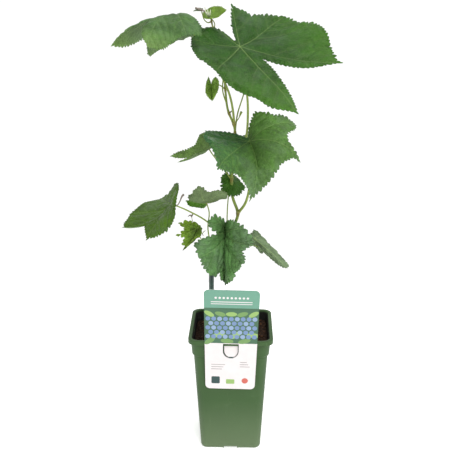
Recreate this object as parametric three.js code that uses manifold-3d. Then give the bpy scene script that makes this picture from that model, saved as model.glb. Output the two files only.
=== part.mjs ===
// Young potted grapevine: a waxed cutting with one green shoot, lobed leaves on
// long stalks, a square nursery pot filled with soil and a hanging plant label.
// Millimetres, +Z up. The origin is the middle of the pot's flat underside and
// the labelled side of the pot faces -Y.

import * as THREE from "three";
import { mergeVertices } from "three/addons/utils/BufferGeometryUtils.js";
import Module from "manifold-3d";

const wasm = await Module();
wasm.setup();

// ---------------------------------------------------------------- dimensions

const GAP = 0.3;                  // clearance between neighbouring pieces

const POT_HEIGHT = 164;
const POT_WALL = 1.5;
const POT_FLOOR = 1.6;
const BASE_HALF = 40.2;           // half width of the body at the foot
const BODY_TOP_HALF = 48.3;       // half width of the body below the collar
const COLLAR_HALF = 51.8;          // under the lip
const COLLAR_FOOT_HALF = 50.2;
const LIP_HALF = 55;
const COLLAR_DROP = 24;           // from the rim down to the foot of the collar
const LIP_DROP = 6;               // height of the turned-down skirt of the lip
const SKIRT_WALL = 1.2;
const FOOT_ROUNDING = 3;
const CORNER_RADIUS = { base: 9, body: 11, collar: 11.5, lip: 12 };
const NOTCH = { width: 18, height: 3, depth: 14 };
const DRAIN_RADIUS = 3.2;
const COLLAR_SLOT = { length: 9, height: 3, drop: 8.2 };

const SOIL_DROP = 11.5;           // from the rim down to the soil
const SOIL_LEVEL = POT_HEIGHT - SOIL_DROP;

const LABEL = {
  topWidth: 70,
  footWidth: 64.5,
  height: 146.5,
  thickness: 0.8,
  corner: 6,
  lean: 7.5,                      // degrees, foot of the card toward the pot
  swing: -1,                      // degrees, turned in its own plane
  top: 239,                       // height of the top edge
  middle: 0.6,                    // sideways place where the card passes the lip
  front: -LIP_HALF - GAP,         // where the back of the card passes the lip
};

const TONGUE = {
  top: 161.7,                     // upper edge of the window in the card
  foot: 141,                      // lowest point of the U-shaped cut
  halfWidth: 9.6,
  cut: 0.8,                       // width of the cut round the tongue
  hinge: 5,                       // width left standing at the foot
};

const WOOD = {
  foot: [-26.5, 4, SOIL_LEVEL + GAP],
  top: [-26.5, 4, 240],
  footRadius: 4.3,
  radius: 3.6,
};

const SHOOT = {
  path: [
    [-26, 4, 234], [-23, 6, 249], [-12, 8, 277], [5, 8, 305], [8, 8, 317], [1, 8, 340],
    [0, 9, 374], [4, 9, 416], [3, 9, 430], [-5, 7, 451], [-8, 6, 474], [-11, 4, 512],
    [-16, 3, 536], [-23, 2, 551], [-25, 1, 560],
  ],
  footRadius: 2.3,
  tipRadius: 0.9,
  sides: 8,
};

// The lobed outline shared by all leaves: angle off the midrib and reach of the
// apical lobe and of the three lobes on each side, and the notches in between
// with their reach when uncut and when cut deep.
const LOBE_ANGLE = [50, 104, 150];
const NOTCH_ANGLE = [25, 78, 128];
const NOTCH_UNCUT = [0.8, 0.74, 0.58];
const NOTCH_CUT = [0.52, 0.5, 0.46];
const SINUS = { angle: 174, reach: 0.1 };
const TOOTH = { height: 0.05, lean: 0.5 };
const HALF_WIDTH = 0.75;          // of the leaf length, for the curl
const FOLD_SOFTNESS = 0.02;       // of the leaf length, rounding of the midrib fold

// Each leaf: at = where the stalk meets the blade; heading, pitch and roll of the
// midrib in degrees (0 = +X, -90 = -Y); right and left halves with the reach of
// their lobes, the depth of their notches, the spread of the lobes, and how far
// the half is lifted and curled; arch and back bend the midrib beyond and behind
// the stalk; stalk = points of the leaf stalk from the shoot to the blade.
const LEAVES = [
  {
    name: "leaf_top_large",
    at: [10, -22, 529.5], heading: -59, pitch: -28, roll: 18, length: 137, width: 0.89,
    right: { lobes: [0.52, 0.47, 0.31], cuts: [0.2, 0.9, 1.5], spread: 1.09, lift: 3, curl: -40 },
    left: { lobes: [0.91, 0.68, 0.54], cuts: [1.9, -0.6, 0.6], spread: 1.06, lift: -19, curl: -33 },
    arch: -1, back: -56, twist: 0, fullness: 0.2, teeth: 24, rings: 3, thickness: 1.3,
    stalk: [[1, 9, 376], [11, 10, 397], [18, 7, 417], [20, 3, 443], [19, 0, 469], [14, -5, 501]],
    stalkRadius: [1.7, 1.2], colour: 0x466f34,
  },
  {
    name: "leaf_top_arched",
    at: [-67, -22, 566], heading: -175, pitch: -6, roll: 6, length: 83, width: 1.16,
    right: { lobes: [0.86, 0.99, 0.6], cuts: [1.2, 0.3, -0.4], spread: 0.96, lift: -54, curl: -51 },
    left: { lobes: [0.96, 0.61, 0.21], cuts: [2.9, 0, -0.8], spread: 1.02, lift: 0, curl: 60 },
    arch: 41, back: 56, twist: 14, fullness: 0.8, teeth: 22, rings: 3, thickness: 1.1,
    stalk: [[3, 9, 433], [1, 4, 453], [-4, 0, 474], [-19, -1, 505], [-38, -3, 533], [-56, -12, 554]],
    stalkRadius: [1.5, 1.1], colour: 0x547d3b,
  },
  {
    name: "leaf_middle_large",
    at: [22, -24, 417], heading: -69, pitch: -26, roll: 7, length: 76, width: 1.47,
    right: { lobes: [0.94, 0.55, 0.53], cuts: [0.1, 0.2, 0.5], spread: 0.84, lift: 11, curl: -17 },
    left: { lobes: [0.62, 0.76, 0.5], cuts: [0.8, 1.2, 0.7], spread: 1.04, lift: 44, curl: 76 },
    arch: 60, back: -41, twist: -27, fullness: 0, teeth: 22, rings: 3, thickness: 1.1,
    stalk: [[8, 8, 317], [17, 5, 330], [22, 0, 349], [23, -8, 378], [23, -19, 407]],
    stalkRadius: [1.9, 1.2], colour: 0x4c7447,
  },
  {
    name: "leaf_left_low",
    at: [-74, -14, 334], heading: -170, pitch: -58, roll: 2, length: 75, width: 1.15,
    right: { lobes: [0.91, 0.67, 0.64], cuts: [-0.4, -0.8, 0.8], spread: 0.73, lift: 9, curl: 6 },
    left: { lobes: [0.9, 0.64, 0.44], cuts: [0.5, -0.1, 0.1], spread: 0.86, lift: 29, curl: 56 },
    arch: -73, back: -5, twist: -10, fullness: 0.2, teeth: 20, rings: 3, thickness: 1,
    stalk: [[-12, 8, 277], [-16, 6, 290], [-33, -1, 309], [-56, -10, 325]],
    stalkRadius: [1.2, 0.9], colour: 0x4d7237,
  },
  {
    name: "leaf_front_low",
    at: [-8, -13, 296], heading: -103, pitch: -79, roll: -27, length: 65, width: 1.3,
    right: { lobes: [0.75, 0.26, 0.51], cuts: [-0.8, 0.3, 0.8], spread: 0.9, lift: 74, curl: 99 },
    left: { lobes: [1.01, 0.78, 0.62], cuts: [-1.5, 0.1, -1.4], spread: 0.71, lift: 96, curl: 42 },
    arch: -31, back: 6, twist: 1, fullness: 0.4, teeth: 20, rings: 3, thickness: 0.9,
    stalk: [[-1, 8, 296], [-5, -3, 302]],
    stalkRadius: [1.3, 1], colour: 0x4f7a48,
  },
  {
    name: "leaf_left_middle",
    at: [-29, 2, 403], heading: 168, pitch: -32, roll: -5, length: 51, width: 0.79,
    right: { lobes: [0.59, 0.81, 0.36], cuts: [0.4, -0.3, 0], spread: 0.96, lift: 17, curl: -37 },
    left: { lobes: [0.93, 0.86, 0.4], cuts: [1.2, -0.6, 1.3], spread: 0.76, lift: -11, curl: -49 },
    arch: -41, back: -73, twist: -13, fullness: 0.6, teeth: 16, rings: 3, thickness: 0.9,
    stalk: [[0, 9, 361], [-14, 8, 381], [-25, 4, 396]],
    stalkRadius: [1.1, 0.8], colour: 0x587f40,
  },
  {
    name: "leaf_young_behind",
    at: [0, 14, 362], heading: -53, pitch: -52, roll: -8, length: 22, width: 1.02,
    right: { lobes: [0.95, 0.65, 0.47], cuts: [-0.7, 0.12, 0.4], spread: 0.97, lift: -10, curl: 8 },
    left: { lobes: [0.89, 0.74, 0.5], cuts: [-0.16, 0.25, 0.32], spread: 0.95, lift: -18, curl: 0 },
    arch: 0, back: 0, twist: 25, fullness: 0.71, teeth: 14, rings: 2, thickness: 0.8,
    stalk: [[-5, 8, 291], [-6, 13, 309], [-4, 16, 341], [-1, 16, 358]],
    stalkRadius: [0.9, 0.7], colour: 0x3f6a2b,
  },
  {
    name: "leaf_left_edge_on",
    at: [-31.9, -2.2, 333.1], heading: -107, pitch: 22, roll: 11, length: 36.3, width: 0.96,
    right: { lobes: [0.73, 0.54, 0.74], cuts: [-0.3, 0.3, -0.1], spread: 1.01, lift: -12, curl: -14 },
    left: { lobes: [1.33, 0.74, 0.58], cuts: [0, -0.1, 0], spread: 1.03, lift: 26, curl: 42 },
    arch: -53, back: -8, twist: -10, fullness: 0.2, teeth: 16, rings: 3, thickness: 0.9,
    stalk: [[-21, 6.5, 254], [-28, 12, 275], [-31, 9, 296], [-29, 3, 319]],
    stalkRadius: [1, 0.8], colour: 0x66805a,
  },
  {
    name: "leaf_young_yellow",
    at: [-43, -3.6, 300.7], heading: 174, pitch: -73, roll: -76, length: 33.9, width: 0.95,
    right: { lobes: [0.85, 0.86, 0.26], cuts: [-0.2, 0.8, 0.4], spread: 0.86, lift: 19, curl: -28 },
    left: { lobes: [1.01, 0.93, 0.21], cuts: [0.1, -1, 1.2], spread: 0.82, lift: 47, curl: -20 },
    arch: -44, back: -7, twist: 23, fullness: 0.3, teeth: 16, rings: 2, thickness: 0.8,
    stalk: [[-20, 7, 258], [-34, 1, 277], [-43, -4, 292]],
    stalkRadius: [0.8, 0.6], colour: 0x6f9137,
  },
  {
    name: "leaf_right_rolled",
    at: [30, -9, 288], heading: -33, pitch: -30, roll: 56, length: 56, width: 1.02,
    right: { lobes: [0.77, 0.66, 0.24], cuts: [0.26, 0.22, 0.44], spread: 0.84, lift: -68, curl: 27 },
    left: { lobes: [0.8, 0.6, 0.22], cuts: [0.46, 0.06, 0.42], spread: 0.94, lift: -64, curl: 27 },
    arch: 26, back: 0, twist: -7, fullness: 0.95, teeth: 16, rings: 3, thickness: 0.8,
    stalk: [[-5, 8, 288], [8, 10, 291], [22, 2, 290]],
    stalkRadius: [1, 0.8], colour: 0x6c8560,
  },
  {
    name: "leaf_tip_young",
    at: [-27.5, 3, 561.6], heading: 2, pitch: 6, roll: -5, length: 23, width: 1.02,
    right: { lobes: [0.72, 0.8, 0.36], cuts: [0.1, 0.2, 0.4], spread: 0.94, lift: 1, curl: 15 },
    left: { lobes: [0.89, 0.73, 0.35], cuts: [-0.6, -0.2, 0.4], spread: 1.02, lift: 44, curl: 0 },
    arch: -38, back: -20, twist: 13, fullness: 0.5, teeth: 12, rings: 2, thickness: 0.8,
    stalk: [[-22, 2, 549], [-21, 6, 555], [-24, 6, 560]],
    stalkRadius: [0.7, 0.6], colour: 0x6f9a45,
  },
  {
    name: "leaf_tip_unfolding",
    at: [-36.5, 1, 570], heading: 180, pitch: 6, roll: 0, length: 10, width: 0.8,
    right: { lobes: [0.7, 0.5, 0.3], cuts: [0.3, 0.3, 0.3], spread: 0.8, lift: 56, curl: 10 },
    left: { lobes: [0.7, 0.5, 0.3], cuts: [0.3, 0.3, 0.3], spread: 0.8, lift: 56, curl: 10 },
    arch: 14, back: 0, twist: 0, fullness: 0.5, teeth: 10, rings: 2, thickness: 0.7,
    stalk: [[-24.5, 1.2, 558], [-29, 2, 556.5], [-33.5, 2, 560], [-35.5, 1.5, 566]],
    stalkRadius: [0.7, 0.6], colour: 0xa3a992,
  },
  {
    name: "leaf_young_upper",
    at: [-24.7, -12.8, 483.4], heading: -79, pitch: -69, roll: 1, length: 19, width: 1.04,
    right: { lobes: [0.82, 0.61, 0.58], cuts: [-0.3, 0, 0.3], spread: 0.97, lift: 43, curl: -26 },
    left: { lobes: [0.8, 0.63, 0.59], cuts: [-0.3, 0.2, -0.1], spread: 0.96, lift: 46, curl: -9 },
    arch: -1, back: 3, twist: 17, fullness: 0.4, teeth: 12, rings: 2, thickness: 0.8,
    stalk: [[-8, 6, 476], [-14, -2, 482], [-22, -10, 485]],
    stalkRadius: [0.8, 0.6], colour: 0x5f8a30,
  },
  {
    name: "leaf_back_upper",
    at: [21, 30, 484], heading: 46, pitch: -28, roll: 0, length: 52, width: 1,
    right: { lobes: [0.88, 0.7, 0.52], cuts: [0.4, 0.3, 0.3], spread: 0.95, lift: 4, curl: 18 },
    left: { lobes: [0.88, 0.72, 0.54], cuts: [0.5, 0.3, 0.3], spread: 0.95, lift: 8, curl: 14 },
    arch: 30, back: 6, twist: 6, fullness: 0.5, teeth: 18, rings: 2, thickness: 1,
    stalk: [[4, 9, 422], [7, 13, 445], [13, 19, 464], [18, 27, 479]],
    stalkRadius: [1, 0.8], colour: 0x4a7237,
  },
  {
    name: "leaf_back_crown",
    at: [2, 36, 526], heading: 118, pitch: -14, roll: 0, length: 50, width: 1,
    right: { lobes: [0.86, 0.7, 0.5], cuts: [0.5, 0.3, 0.3], spread: 0.92, lift: 6, curl: 16 },
    left: { lobes: [0.86, 0.7, 0.52], cuts: [0.4, 0.3, 0.3], spread: 0.92, lift: 5, curl: 16 },
    arch: 34, back: 8, twist: -8, fullness: 0.5, teeth: 16, rings: 2, thickness: 1,
    stalk: [[-3, 7, 446], [-7, 14, 458], [-12, 22, 474], [-10, 30, 494], [-3, 35, 514]],
    stalkRadius: [0.9, 0.7], colour: 0x507a3a,
  },
  {
    name: "leaf_back_middle",
    at: [12, 38, 408], heading: 70, pitch: -24, roll: 0, length: 56, width: 1,
    right: { lobes: [0.86, 0.7, 0.5], cuts: [0.4, 0.3, 0.3], spread: 0.95, lift: 8, curl: 18 },
    left: { lobes: [0.86, 0.7, 0.52], cuts: [0.5, 0.3, 0.3], spread: 0.95, lift: 6, curl: 16 },
    arch: 30, back: 8, twist: 8, fullness: 0.5, teeth: 16, rings: 2, thickness: 1,
    stalk: [[3, 9, 402], [6, 20, 402], [10, 32, 406]],
    stalkRadius: [1.1, 0.8], colour: 0x4c7539,
  },
  {
    name: "leaf_back_low",
    at: [-4, 35, 272], heading: 94, pitch: -28, roll: 0, length: 44, width: 1,
    right: { lobes: [0.86, 0.7, 0.5], cuts: [0.4, 0.3, 0.3], spread: 0.95, lift: 6, curl: 18 },
    left: { lobes: [0.86, 0.7, 0.52], cuts: [0.3, 0.3, 0.3], spread: 0.95, lift: 8, curl: 20 },
    arch: 26, back: 8, twist: -6, fullness: 0.5, teeth: 16, rings: 2, thickness: 0.9,
    stalk: [[-9, 8, 283], [-8, 18, 279], [-5, 31, 271]],
    stalkRadius: [0.9, 0.7], colour: 0x567e40,
  },
];

// ------------------------------------------------------------------- helpers

const radians = (degrees) => (degrees * Math.PI) / 180;

function surface(colour, roughness) {
  return new THREE.MeshStandardMaterial({ color: colour, roughness, metalness: 0 });
}

function toSolid(geometry) {
  const clean = geometry.clone();
  clean.deleteAttribute("normal");
  clean.deleteAttribute("uv");
  const merged = mergeVertices(clean, 1e-4);
  return new wasm.Manifold(new wasm.Mesh({
    numProp: 3,
    vertProperties: new Float32Array(merged.attributes.position.array),
    triVerts: new Uint32Array(merged.index.array),
  }));
}

function toGeometry(solid) {
  const mesh = solid.getMesh();
  const geometry = new THREE.BufferGeometry();
  geometry.setAttribute("position", new THREE.BufferAttribute(new Float32Array(mesh.vertProperties), 3));
  geometry.setIndex(new THREE.BufferAttribute(new Uint32Array(mesh.triVerts), 1));
  geometry.computeVertexNormals();
  return geometry;
}

// A named piece whose own origin sits at the given point of the part.
function node(name, solid, material, origin = [0, 0, 0]) {
  const mesh = new THREE.Mesh(toGeometry(solid.translate(origin.map((v) => -v))), material);
  mesh.name = name;
  mesh.position.set(...origin);
  return mesh;
}

// Drops the slivers a cut can leave beside the piece.
function largest(solid) {
  return solid.decompose().reduce((best, piece) => (piece.volume() > best.volume() ? piece : best));
}

function block(width, depth, height, x, y, z) {
  const geometry = new THREE.BoxGeometry(width, depth, height);
  geometry.translate(x, y, z);
  return toSolid(geometry);
}

// A round limb along a smooth path; the radius follows radiusAt from foot to tip.
function limb(path, radiusAt, sides, segments) {
  const curve = new THREE.CatmullRomCurve3(path.map((p) => new THREE.Vector3(...p)), false, "centripetal");
  const frames = curve.computeFrenetFrames(segments, false);
  const geometry = new THREE.CylinderGeometry(1, 1, 1, sides, segments, false);
  const position = geometry.attributes.position;
  for (let i = 0; i < position.count; i++) {
    const t = position.getY(i) + 0.5;
    const k = Math.round(t * segments);
    const radius = radiusAt(t);
    const point = curve.getPointAt(Math.min(1, Math.max(0, t)));
    point.addScaledVector(frames.normals[k], radius * position.getX(i));
    point.addScaledVector(frames.binormals[k], -radius * position.getZ(i));
    position.setXYZ(i, point.x, point.y, point.z);
  }
  return toSolid(geometry);
}

const taper = (foot, tip) => (t) => foot + (tip - foot) * t;

// ----------------------------------------------------------------------- pot

// Points round a square with rounded corners, at one height.
function squareRing(half, radius, z, perCorner) {
  const points = [];
  const reach = half - radius;
  for (let corner = 0; corner < 4; corner++) {
    const middle = radians(45 + 90 * corner);
    const cx = reach * Math.sign(Math.cos(middle));
    const cy = reach * Math.sign(Math.sin(middle));
    for (let i = 0; i <= perCorner; i++) {
      const angle = radians(90 * corner + (90 * i) / perCorner);
      points.push([cx + radius * Math.cos(angle), cy + radius * Math.sin(angle), z]);
    }
  }
  return points;
}

// A closed body through a stack of rounded squares, capped at both ends.
function loft(profile, perCorner) {
  const positions = [];
  const index = [];
  const count = 4 * (perCorner + 1);
  profile.forEach(([half, radius, z]) => {
    squareRing(half, radius, z, perCorner).forEach((p) => positions.push(...p));
  });
  for (let ring = 0; ring + 1 < profile.length; ring++) {
    for (let i = 0; i < count; i++) {
      const a = ring * count + i;
      const b = ring * count + ((i + 1) % count);
      index.push(a, b, b + count);
      index.push(a, b + count, a + count);
    }
  }
  const first = positions.length / 3;
  positions.push(0, 0, profile[0][2]);
  positions.push(0, 0, profile[profile.length - 1][2]);
  const last = (profile.length - 1) * count;
  for (let i = 0; i < count; i++) {
    const next = (i + 1) % count;
    index.push(first, next, i);
    index.push(first + 1, last + i, last + next);
  }
  const geometry = new THREE.BufferGeometry();
  geometry.setAttribute("position", new THREE.Float32BufferAttribute(positions, 3));
  geometry.setIndex(index);
  return toSolid(geometry);
}

// Inner half width of the body wall at a height between floor and collar.
function innerHalf(z) {
  const t = (z - FOOT_ROUNDING) / (POT_HEIGHT - COLLAR_DROP - 1 - FOOT_ROUNDING);
  return BASE_HALF + (BODY_TOP_HALF - BASE_HALF) * t - POT_WALL;
}

function buildPot() {
  const collarFoot = POT_HEIGHT - COLLAR_DROP;
  const skirtFoot = POT_HEIGHT - LIP_DROP;
  const r = CORNER_RADIUS;
  const lower = POT_FLOOR + 1.4;
  const shell = loft([
    [BASE_HALF - 2.6, r.base - 2.2, 0],
    [BASE_HALF - 0.8, r.base - 0.7, 0.8],
    [BASE_HALF, r.base, FOOT_ROUNDING],
    [BODY_TOP_HALF, r.body, collarFoot - 1],
    [COLLAR_FOOT_HALF, r.collar - 0.4, collarFoot + 0.6],
    [COLLAR_HALF, r.collar, skirtFoot + LIP_DROP - 1.8],
    [LIP_HALF - SKIRT_WALL, r.lip - SKIRT_WALL, skirtFoot + LIP_DROP - 1.8],
    [LIP_HALF - SKIRT_WALL, r.lip - SKIRT_WALL, skirtFoot],
    [LIP_HALF, r.lip, skirtFoot],
    [LIP_HALF, r.lip, POT_HEIGHT - 0.7],
    [LIP_HALF - 0.7, r.lip - 0.5, POT_HEIGHT],
    [COLLAR_HALF - POT_WALL + 0.6, r.collar - POT_WALL + 0.4, POT_HEIGHT],
    [COLLAR_HALF - POT_WALL, r.collar - POT_WALL, POT_HEIGHT - 0.8],
    [COLLAR_FOOT_HALF - POT_WALL, r.collar - POT_WALL - 0.4, collarFoot + 0.9],
    [BODY_TOP_HALF - POT_WALL, r.body - POT_WALL, collarFoot - 1],
    [innerHalf(lower), r.base - POT_WALL, lower],
    [innerHalf(lower) - 1.2, r.base - POT_WALL - 1, POT_FLOOR],
  ], 4);
  const channelFloor = NOTCH.height + POT_FLOOR;
  const roofWidth = NOTCH.width + 2 * POT_WALL;
  const roofDepth = NOTCH.depth + POT_WALL;
  let roofs = null;
  let cuts = null;
  const slotHeight = POT_HEIGHT - COLLAR_SLOT.drop;
  for (let side = 0; side < 4; side++) {
    const turn = 90 * side;
    const edge = BASE_HALF;
    const roof = block(roofDepth - 0.6, roofWidth, channelFloor - 0.4,
      edge - 0.6 - (roofDepth - 0.6) / 2, 0, 0.4 + (channelFloor - 0.4) / 2).rotate([0, 0, turn]);
    const notch = block(NOTCH.depth + 4, NOTCH.width, NOTCH.height + 2,
      edge + 4 - (NOTCH.depth + 4) / 2, 0, (NOTCH.height - 2) / 2).rotate([0, 0, turn]);
    const drain = toSolid(new THREE.CylinderGeometry(DRAIN_RADIUS, DRAIN_RADIUS, 10, 16)
      .rotateX(radians(90)).translate(edge - NOTCH.depth / 2 - 1, 0, 4)).rotate([0, 0, turn]);
    const slot = block(8, COLLAR_SLOT.length, COLLAR_SLOT.height, COLLAR_HALF - 1, 0, slotHeight)
      .rotate([0, 0, turn]);
    roofs = roofs ? roofs.add(roof) : roof;
    cuts = [notch, drain, slot].reduce((sum, cut) => (sum ? sum.add(cut) : cut), cuts);
  }
  return shell.add(roofs).subtract(cuts);
}

function buildSoil() {
  const foot = NOTCH.height + POT_FLOOR + GAP;
  const collarFoot = POT_HEIGHT - COLLAR_DROP;
  const r = CORNER_RADIUS;
  return loft([
    [innerHalf(foot) - GAP - 0.2, r.base - POT_WALL - 0.3, foot],
    [BODY_TOP_HALF - POT_WALL - GAP - 0.1, r.body - POT_WALL - 0.3, collarFoot - 1],
    [COLLAR_FOOT_HALF - POT_WALL - GAP - 0.1, r.collar - POT_WALL - 0.4, collarFoot + 1.5],
    [COLLAR_FOOT_HALF - POT_WALL - GAP, r.collar - POT_WALL - 0.4, SOIL_LEVEL],
  ], 4);
}

// --------------------------------------------------------------------- label

// A U standing on its round foot, as wide as given, drawn in X and Y.
function tongueShape(half, foot, top) {
  const shape = new THREE.Shape();
  shape.moveTo(-half, top);
  shape.lineTo(-half, foot + half);
  shape.absarc(0, foot + half, half, radians(180), radians(360), false);
  shape.lineTo(half, top);
  shape.closePath();
  return shape;
}

// The card with a window at the lip. The tongue left in the window is hinged at
// its foot, and its tip is tucked up behind the skirt of the lip.
function buildLabel() {
  const card = new THREE.Shape();
  const c = LABEL.corner;
  const h = LABEL.height;
  const foot = LABEL.footWidth / 2;
  const top = LABEL.topWidth / 2;
  card.moveTo(-foot + c, 0);
  card.lineTo(foot - c, 0);
  card.absarc(foot - c, c, c, radians(-90), 0, false);
  card.lineTo(top, h - c);
  card.absarc(top - c, h - c, c, 0, radians(90), false);
  card.lineTo(-top + c, h);
  card.absarc(-top + c, h - c, c, radians(90), radians(180), false);
  card.lineTo(-foot, c);
  card.absarc(-foot + c, c, c, radians(180), radians(270), false);

  const cosLean = Math.cos(radians(LABEL.lean));
  const along = (z) => h - (LABEL.top - z) / cosLean;
  const lipMiddle = POT_HEIGHT - LIP_DROP / 2;
  const lipAlong = along(lipMiddle);
  // the card is drawn upright from its foot, then stood, leant and hung
  const hang = (geometry) => geometry
    .translate(0, -lipAlong, 0)
    .rotateZ(radians(LABEL.swing))
    .rotateX(radians(90 + LABEL.lean))
    .translate(LABEL.middle, LABEL.front - 0.6, lipMiddle);
  const sheet = (shape, depth, z) => toSolid(hang(
    new THREE.ExtrudeGeometry(shape, { depth, bevelEnabled: false, curveSegments: 6, steps: 1 })
      .translate(0, 0, z),
  ));
  const plate = sheet(card, LABEL.thickness, 0);
  const windowFoot = along(TONGUE.foot);
  const windowTop = along(TONGUE.top);
  const window = sheet(tongueShape(TONGUE.halfWidth, windowFoot, windowTop), 20, -10);
  const inner = sheet(
    tongueShape(TONGUE.halfWidth - TONGUE.cut, windowFoot + TONGUE.cut, windowTop + 20), 40, -20);

  // the tongue seen from the side: depth and height
  const lean = Math.tan(radians(LABEL.lean));
  const cardBack = (z) => LABEL.front - 0.6 + lean * (lipMiddle - z);
  const behindSkirt = -(LIP_HALF - SKIRT_WALL - 1.15);
  const bendHeight = POT_HEIGHT - LIP_DROP - 0.8;
  const t = 0.35;
  const low = TONGUE.foot + TONGUE.cut;
  const profile = new THREE.Shape();
  profile.moveTo(cardBack(low) - LABEL.thickness, low);
  profile.lineTo(cardBack(low), low);
  profile.lineTo(behindSkirt + t, bendHeight);
  profile.lineTo(behindSkirt + t, bendHeight + 3);
  profile.lineTo(behindSkirt - t, bendHeight + 3);
  profile.lineTo(behindSkirt - t, bendHeight);
  profile.closePath();
  const wide = 2 * TONGUE.halfWidth + 4;
  const strip = new THREE.ExtrudeGeometry(profile, { depth: wide, bevelEnabled: false, steps: 1 });
  strip.applyMatrix4(new THREE.Matrix4().set(
    0, 0, 1, LABEL.middle - wide / 2,
    1, 0, 0, 0,
    0, 1, 0, 0,
    0, 0, 0, 1,
  ));
  const tongue = toSolid(strip).intersect(inner);
  const hinge = block(TONGUE.hinge, LABEL.thickness, 2.4, LABEL.middle,
    cardBack(low) - LABEL.thickness / 2, low);
  return plate.subtract(window).add(tongue).add(hinge);
}

// -------------------------------------------------------------------- leaves

// Reach of the blade in one direction off the midrib, as a share of its length.
function reach(theta, half, fullness) {
  const knots = [[0, 1]];
  for (let i = 0; i < 3; i++) {
    const notch = NOTCH_UNCUT[i] + (NOTCH_CUT[i] - NOTCH_UNCUT[i]) * half.cuts[i];
    knots.push([NOTCH_ANGLE[i] * half.spread, notch]);
    knots.push([LOBE_ANGLE[i] * half.spread, half.lobes[i]]);
  }
  knots.push([SINUS.angle, SINUS.reach]);
  const t = Math.min(Math.abs(theta), SINUS.angle);
  for (let i = 0; i + 1 < knots.length; i++) {
    if (t > knots[i + 1][0] && i + 2 < knots.length) continue;
    const fromTip = i % 2 === 0;
    const share = (t - knots[i][0]) / (knots[i + 1][0] - knots[i][0]);
    const u = Math.min(1, Math.max(0, fromTip ? share : 1 - share));
    const tip = fromTip ? knots[i][1] : knots[i + 1][1];
    const notch = fromTip ? knots[i + 1][1] : knots[i][1];
    const curve = notch + (tip - notch) * ((1 - fullness) * (1 - u) ** 1.5 + fullness * (1 - u * u));
    return curve;
  }
  return SINUS.reach;
}

// The toothed outline of a flat leaf, evenly spaced along its edge.
function outline(leaf) {
  const steps = 720;
  const smooth = [];
  for (let i = 0; i <= steps; i++) {
    const theta = -SINUS.angle + (2 * SINUS.angle * i) / steps;
    const r = reach(theta, theta >= 0 ? leaf.right : leaf.left, leaf.fullness);
    smooth.push([r * Math.sin(radians(theta)) * leaf.width, r * Math.cos(radians(theta))]);
  }
  const along = [0];
  for (let i = 1; i <= steps; i++) {
    const dx = smooth[i][0] - smooth[i - 1][0];
    const dy = smooth[i][1] - smooth[i - 1][1];
    along.push(along[i - 1] + Math.hypot(dx, dy));
  }
  const perTooth = 2;
  const count = leaf.teeth * perTooth;
  const points = [];
  let k = 0;
  for (let i = 0; i <= count; i++) {
    const s = (along[steps] * i) / count;
    while (k < steps - 1 && along[k + 1] < s) k++;
    const f = (s - along[k]) / (along[k + 1] - along[k]);
    const x = smooth[k][0] + (smooth[k + 1][0] - smooth[k][0]) * f;
    const y = smooth[k][1] + (smooth[k + 1][1] - smooth[k][1]) * f;
    const phase = (i % perTooth) / perTooth;
    const saw = phase < TOOTH.lean ? phase / TOOTH.lean : (1 - phase) / (1 - TOOTH.lean);
    const grow = leaf.length * (1 + TOOTH.height * (saw - 0.5));
    points.push([x * grow, y * grow]);
  }
  return points;
}

// Bends a flat point of the leaf: lift and curl of each half, then the midrib's
// arch and twist, then the pose of the leaf.
function bend(leaf, x, y) {
  const L = leaf.length;
  const soft = FOLD_SOFTNESS * L;
  const blend = 0.5 + 0.5 * Math.tanh(x / soft);
  const curl = radians(leaf.left.curl + (leaf.right.curl - leaf.left.curl) * blend) / (HALF_WIDTH * L) || 1e-6;
  const lift = radians(leaf.left.lift + (leaf.right.lift - leaf.left.lift) * blend);
  const across = Math.sin(curl * x) / curl;
  const drop = -(1 - Math.cos(curl * x)) / curl;
  const side = x / Math.hypot(x, soft);
  const X = across * Math.cos(lift) - side * drop * Math.sin(lift);
  const Z = (Math.hypot(across, soft) - soft) * Math.sin(lift) + drop * Math.cos(lift);
  const bow = radians(y >= 0 ? leaf.arch : leaf.back) / L || 1e-6;
  const phi = bow * y;
  const Y2 = Math.sin(phi) / bow + Z * Math.sin(phi);
  const Z2 = -(1 - Math.cos(phi)) / bow + Z * Math.cos(phi);
  const twist = radians(leaf.twist) * (y / L);
  const X3 = X * Math.cos(twist) + Z2 * Math.sin(twist);
  const Z3 = -X * Math.sin(twist) + Z2 * Math.cos(twist);
  return pose(leaf, X3, Y2, Z3);
}

function pose(leaf, x, y, z) {
  const h = radians(leaf.heading);
  const p = radians(leaf.pitch);
  const roll = radians(leaf.roll);
  const along = new THREE.Vector3(Math.cos(p) * Math.cos(h), Math.cos(p) * Math.sin(h), Math.sin(p));
  const level = new THREE.Vector3(Math.sin(h), -Math.cos(h), 0);
  const upright = new THREE.Vector3().crossVectors(level, along);
  const side = level.clone().multiplyScalar(Math.cos(roll)).addScaledVector(upright, -Math.sin(roll));
  const up = upright.clone().multiplyScalar(Math.cos(roll)).addScaledVector(level, Math.sin(roll));
  return new THREE.Vector3(...leaf.at).addScaledVector(side, x).addScaledVector(along, y).addScaledVector(up, z);
}

// Upward normal of the bent blade.
function bladeNormal(leaf, x, y) {
  const step = 0.01 * leaf.length;
  const dx = bend(leaf, x + step, y).sub(bend(leaf, x - step, y));
  const dy = bend(leaf, x, y + step).sub(bend(leaf, x, y - step));
  return dx.cross(dy).normalize();
}

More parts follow.
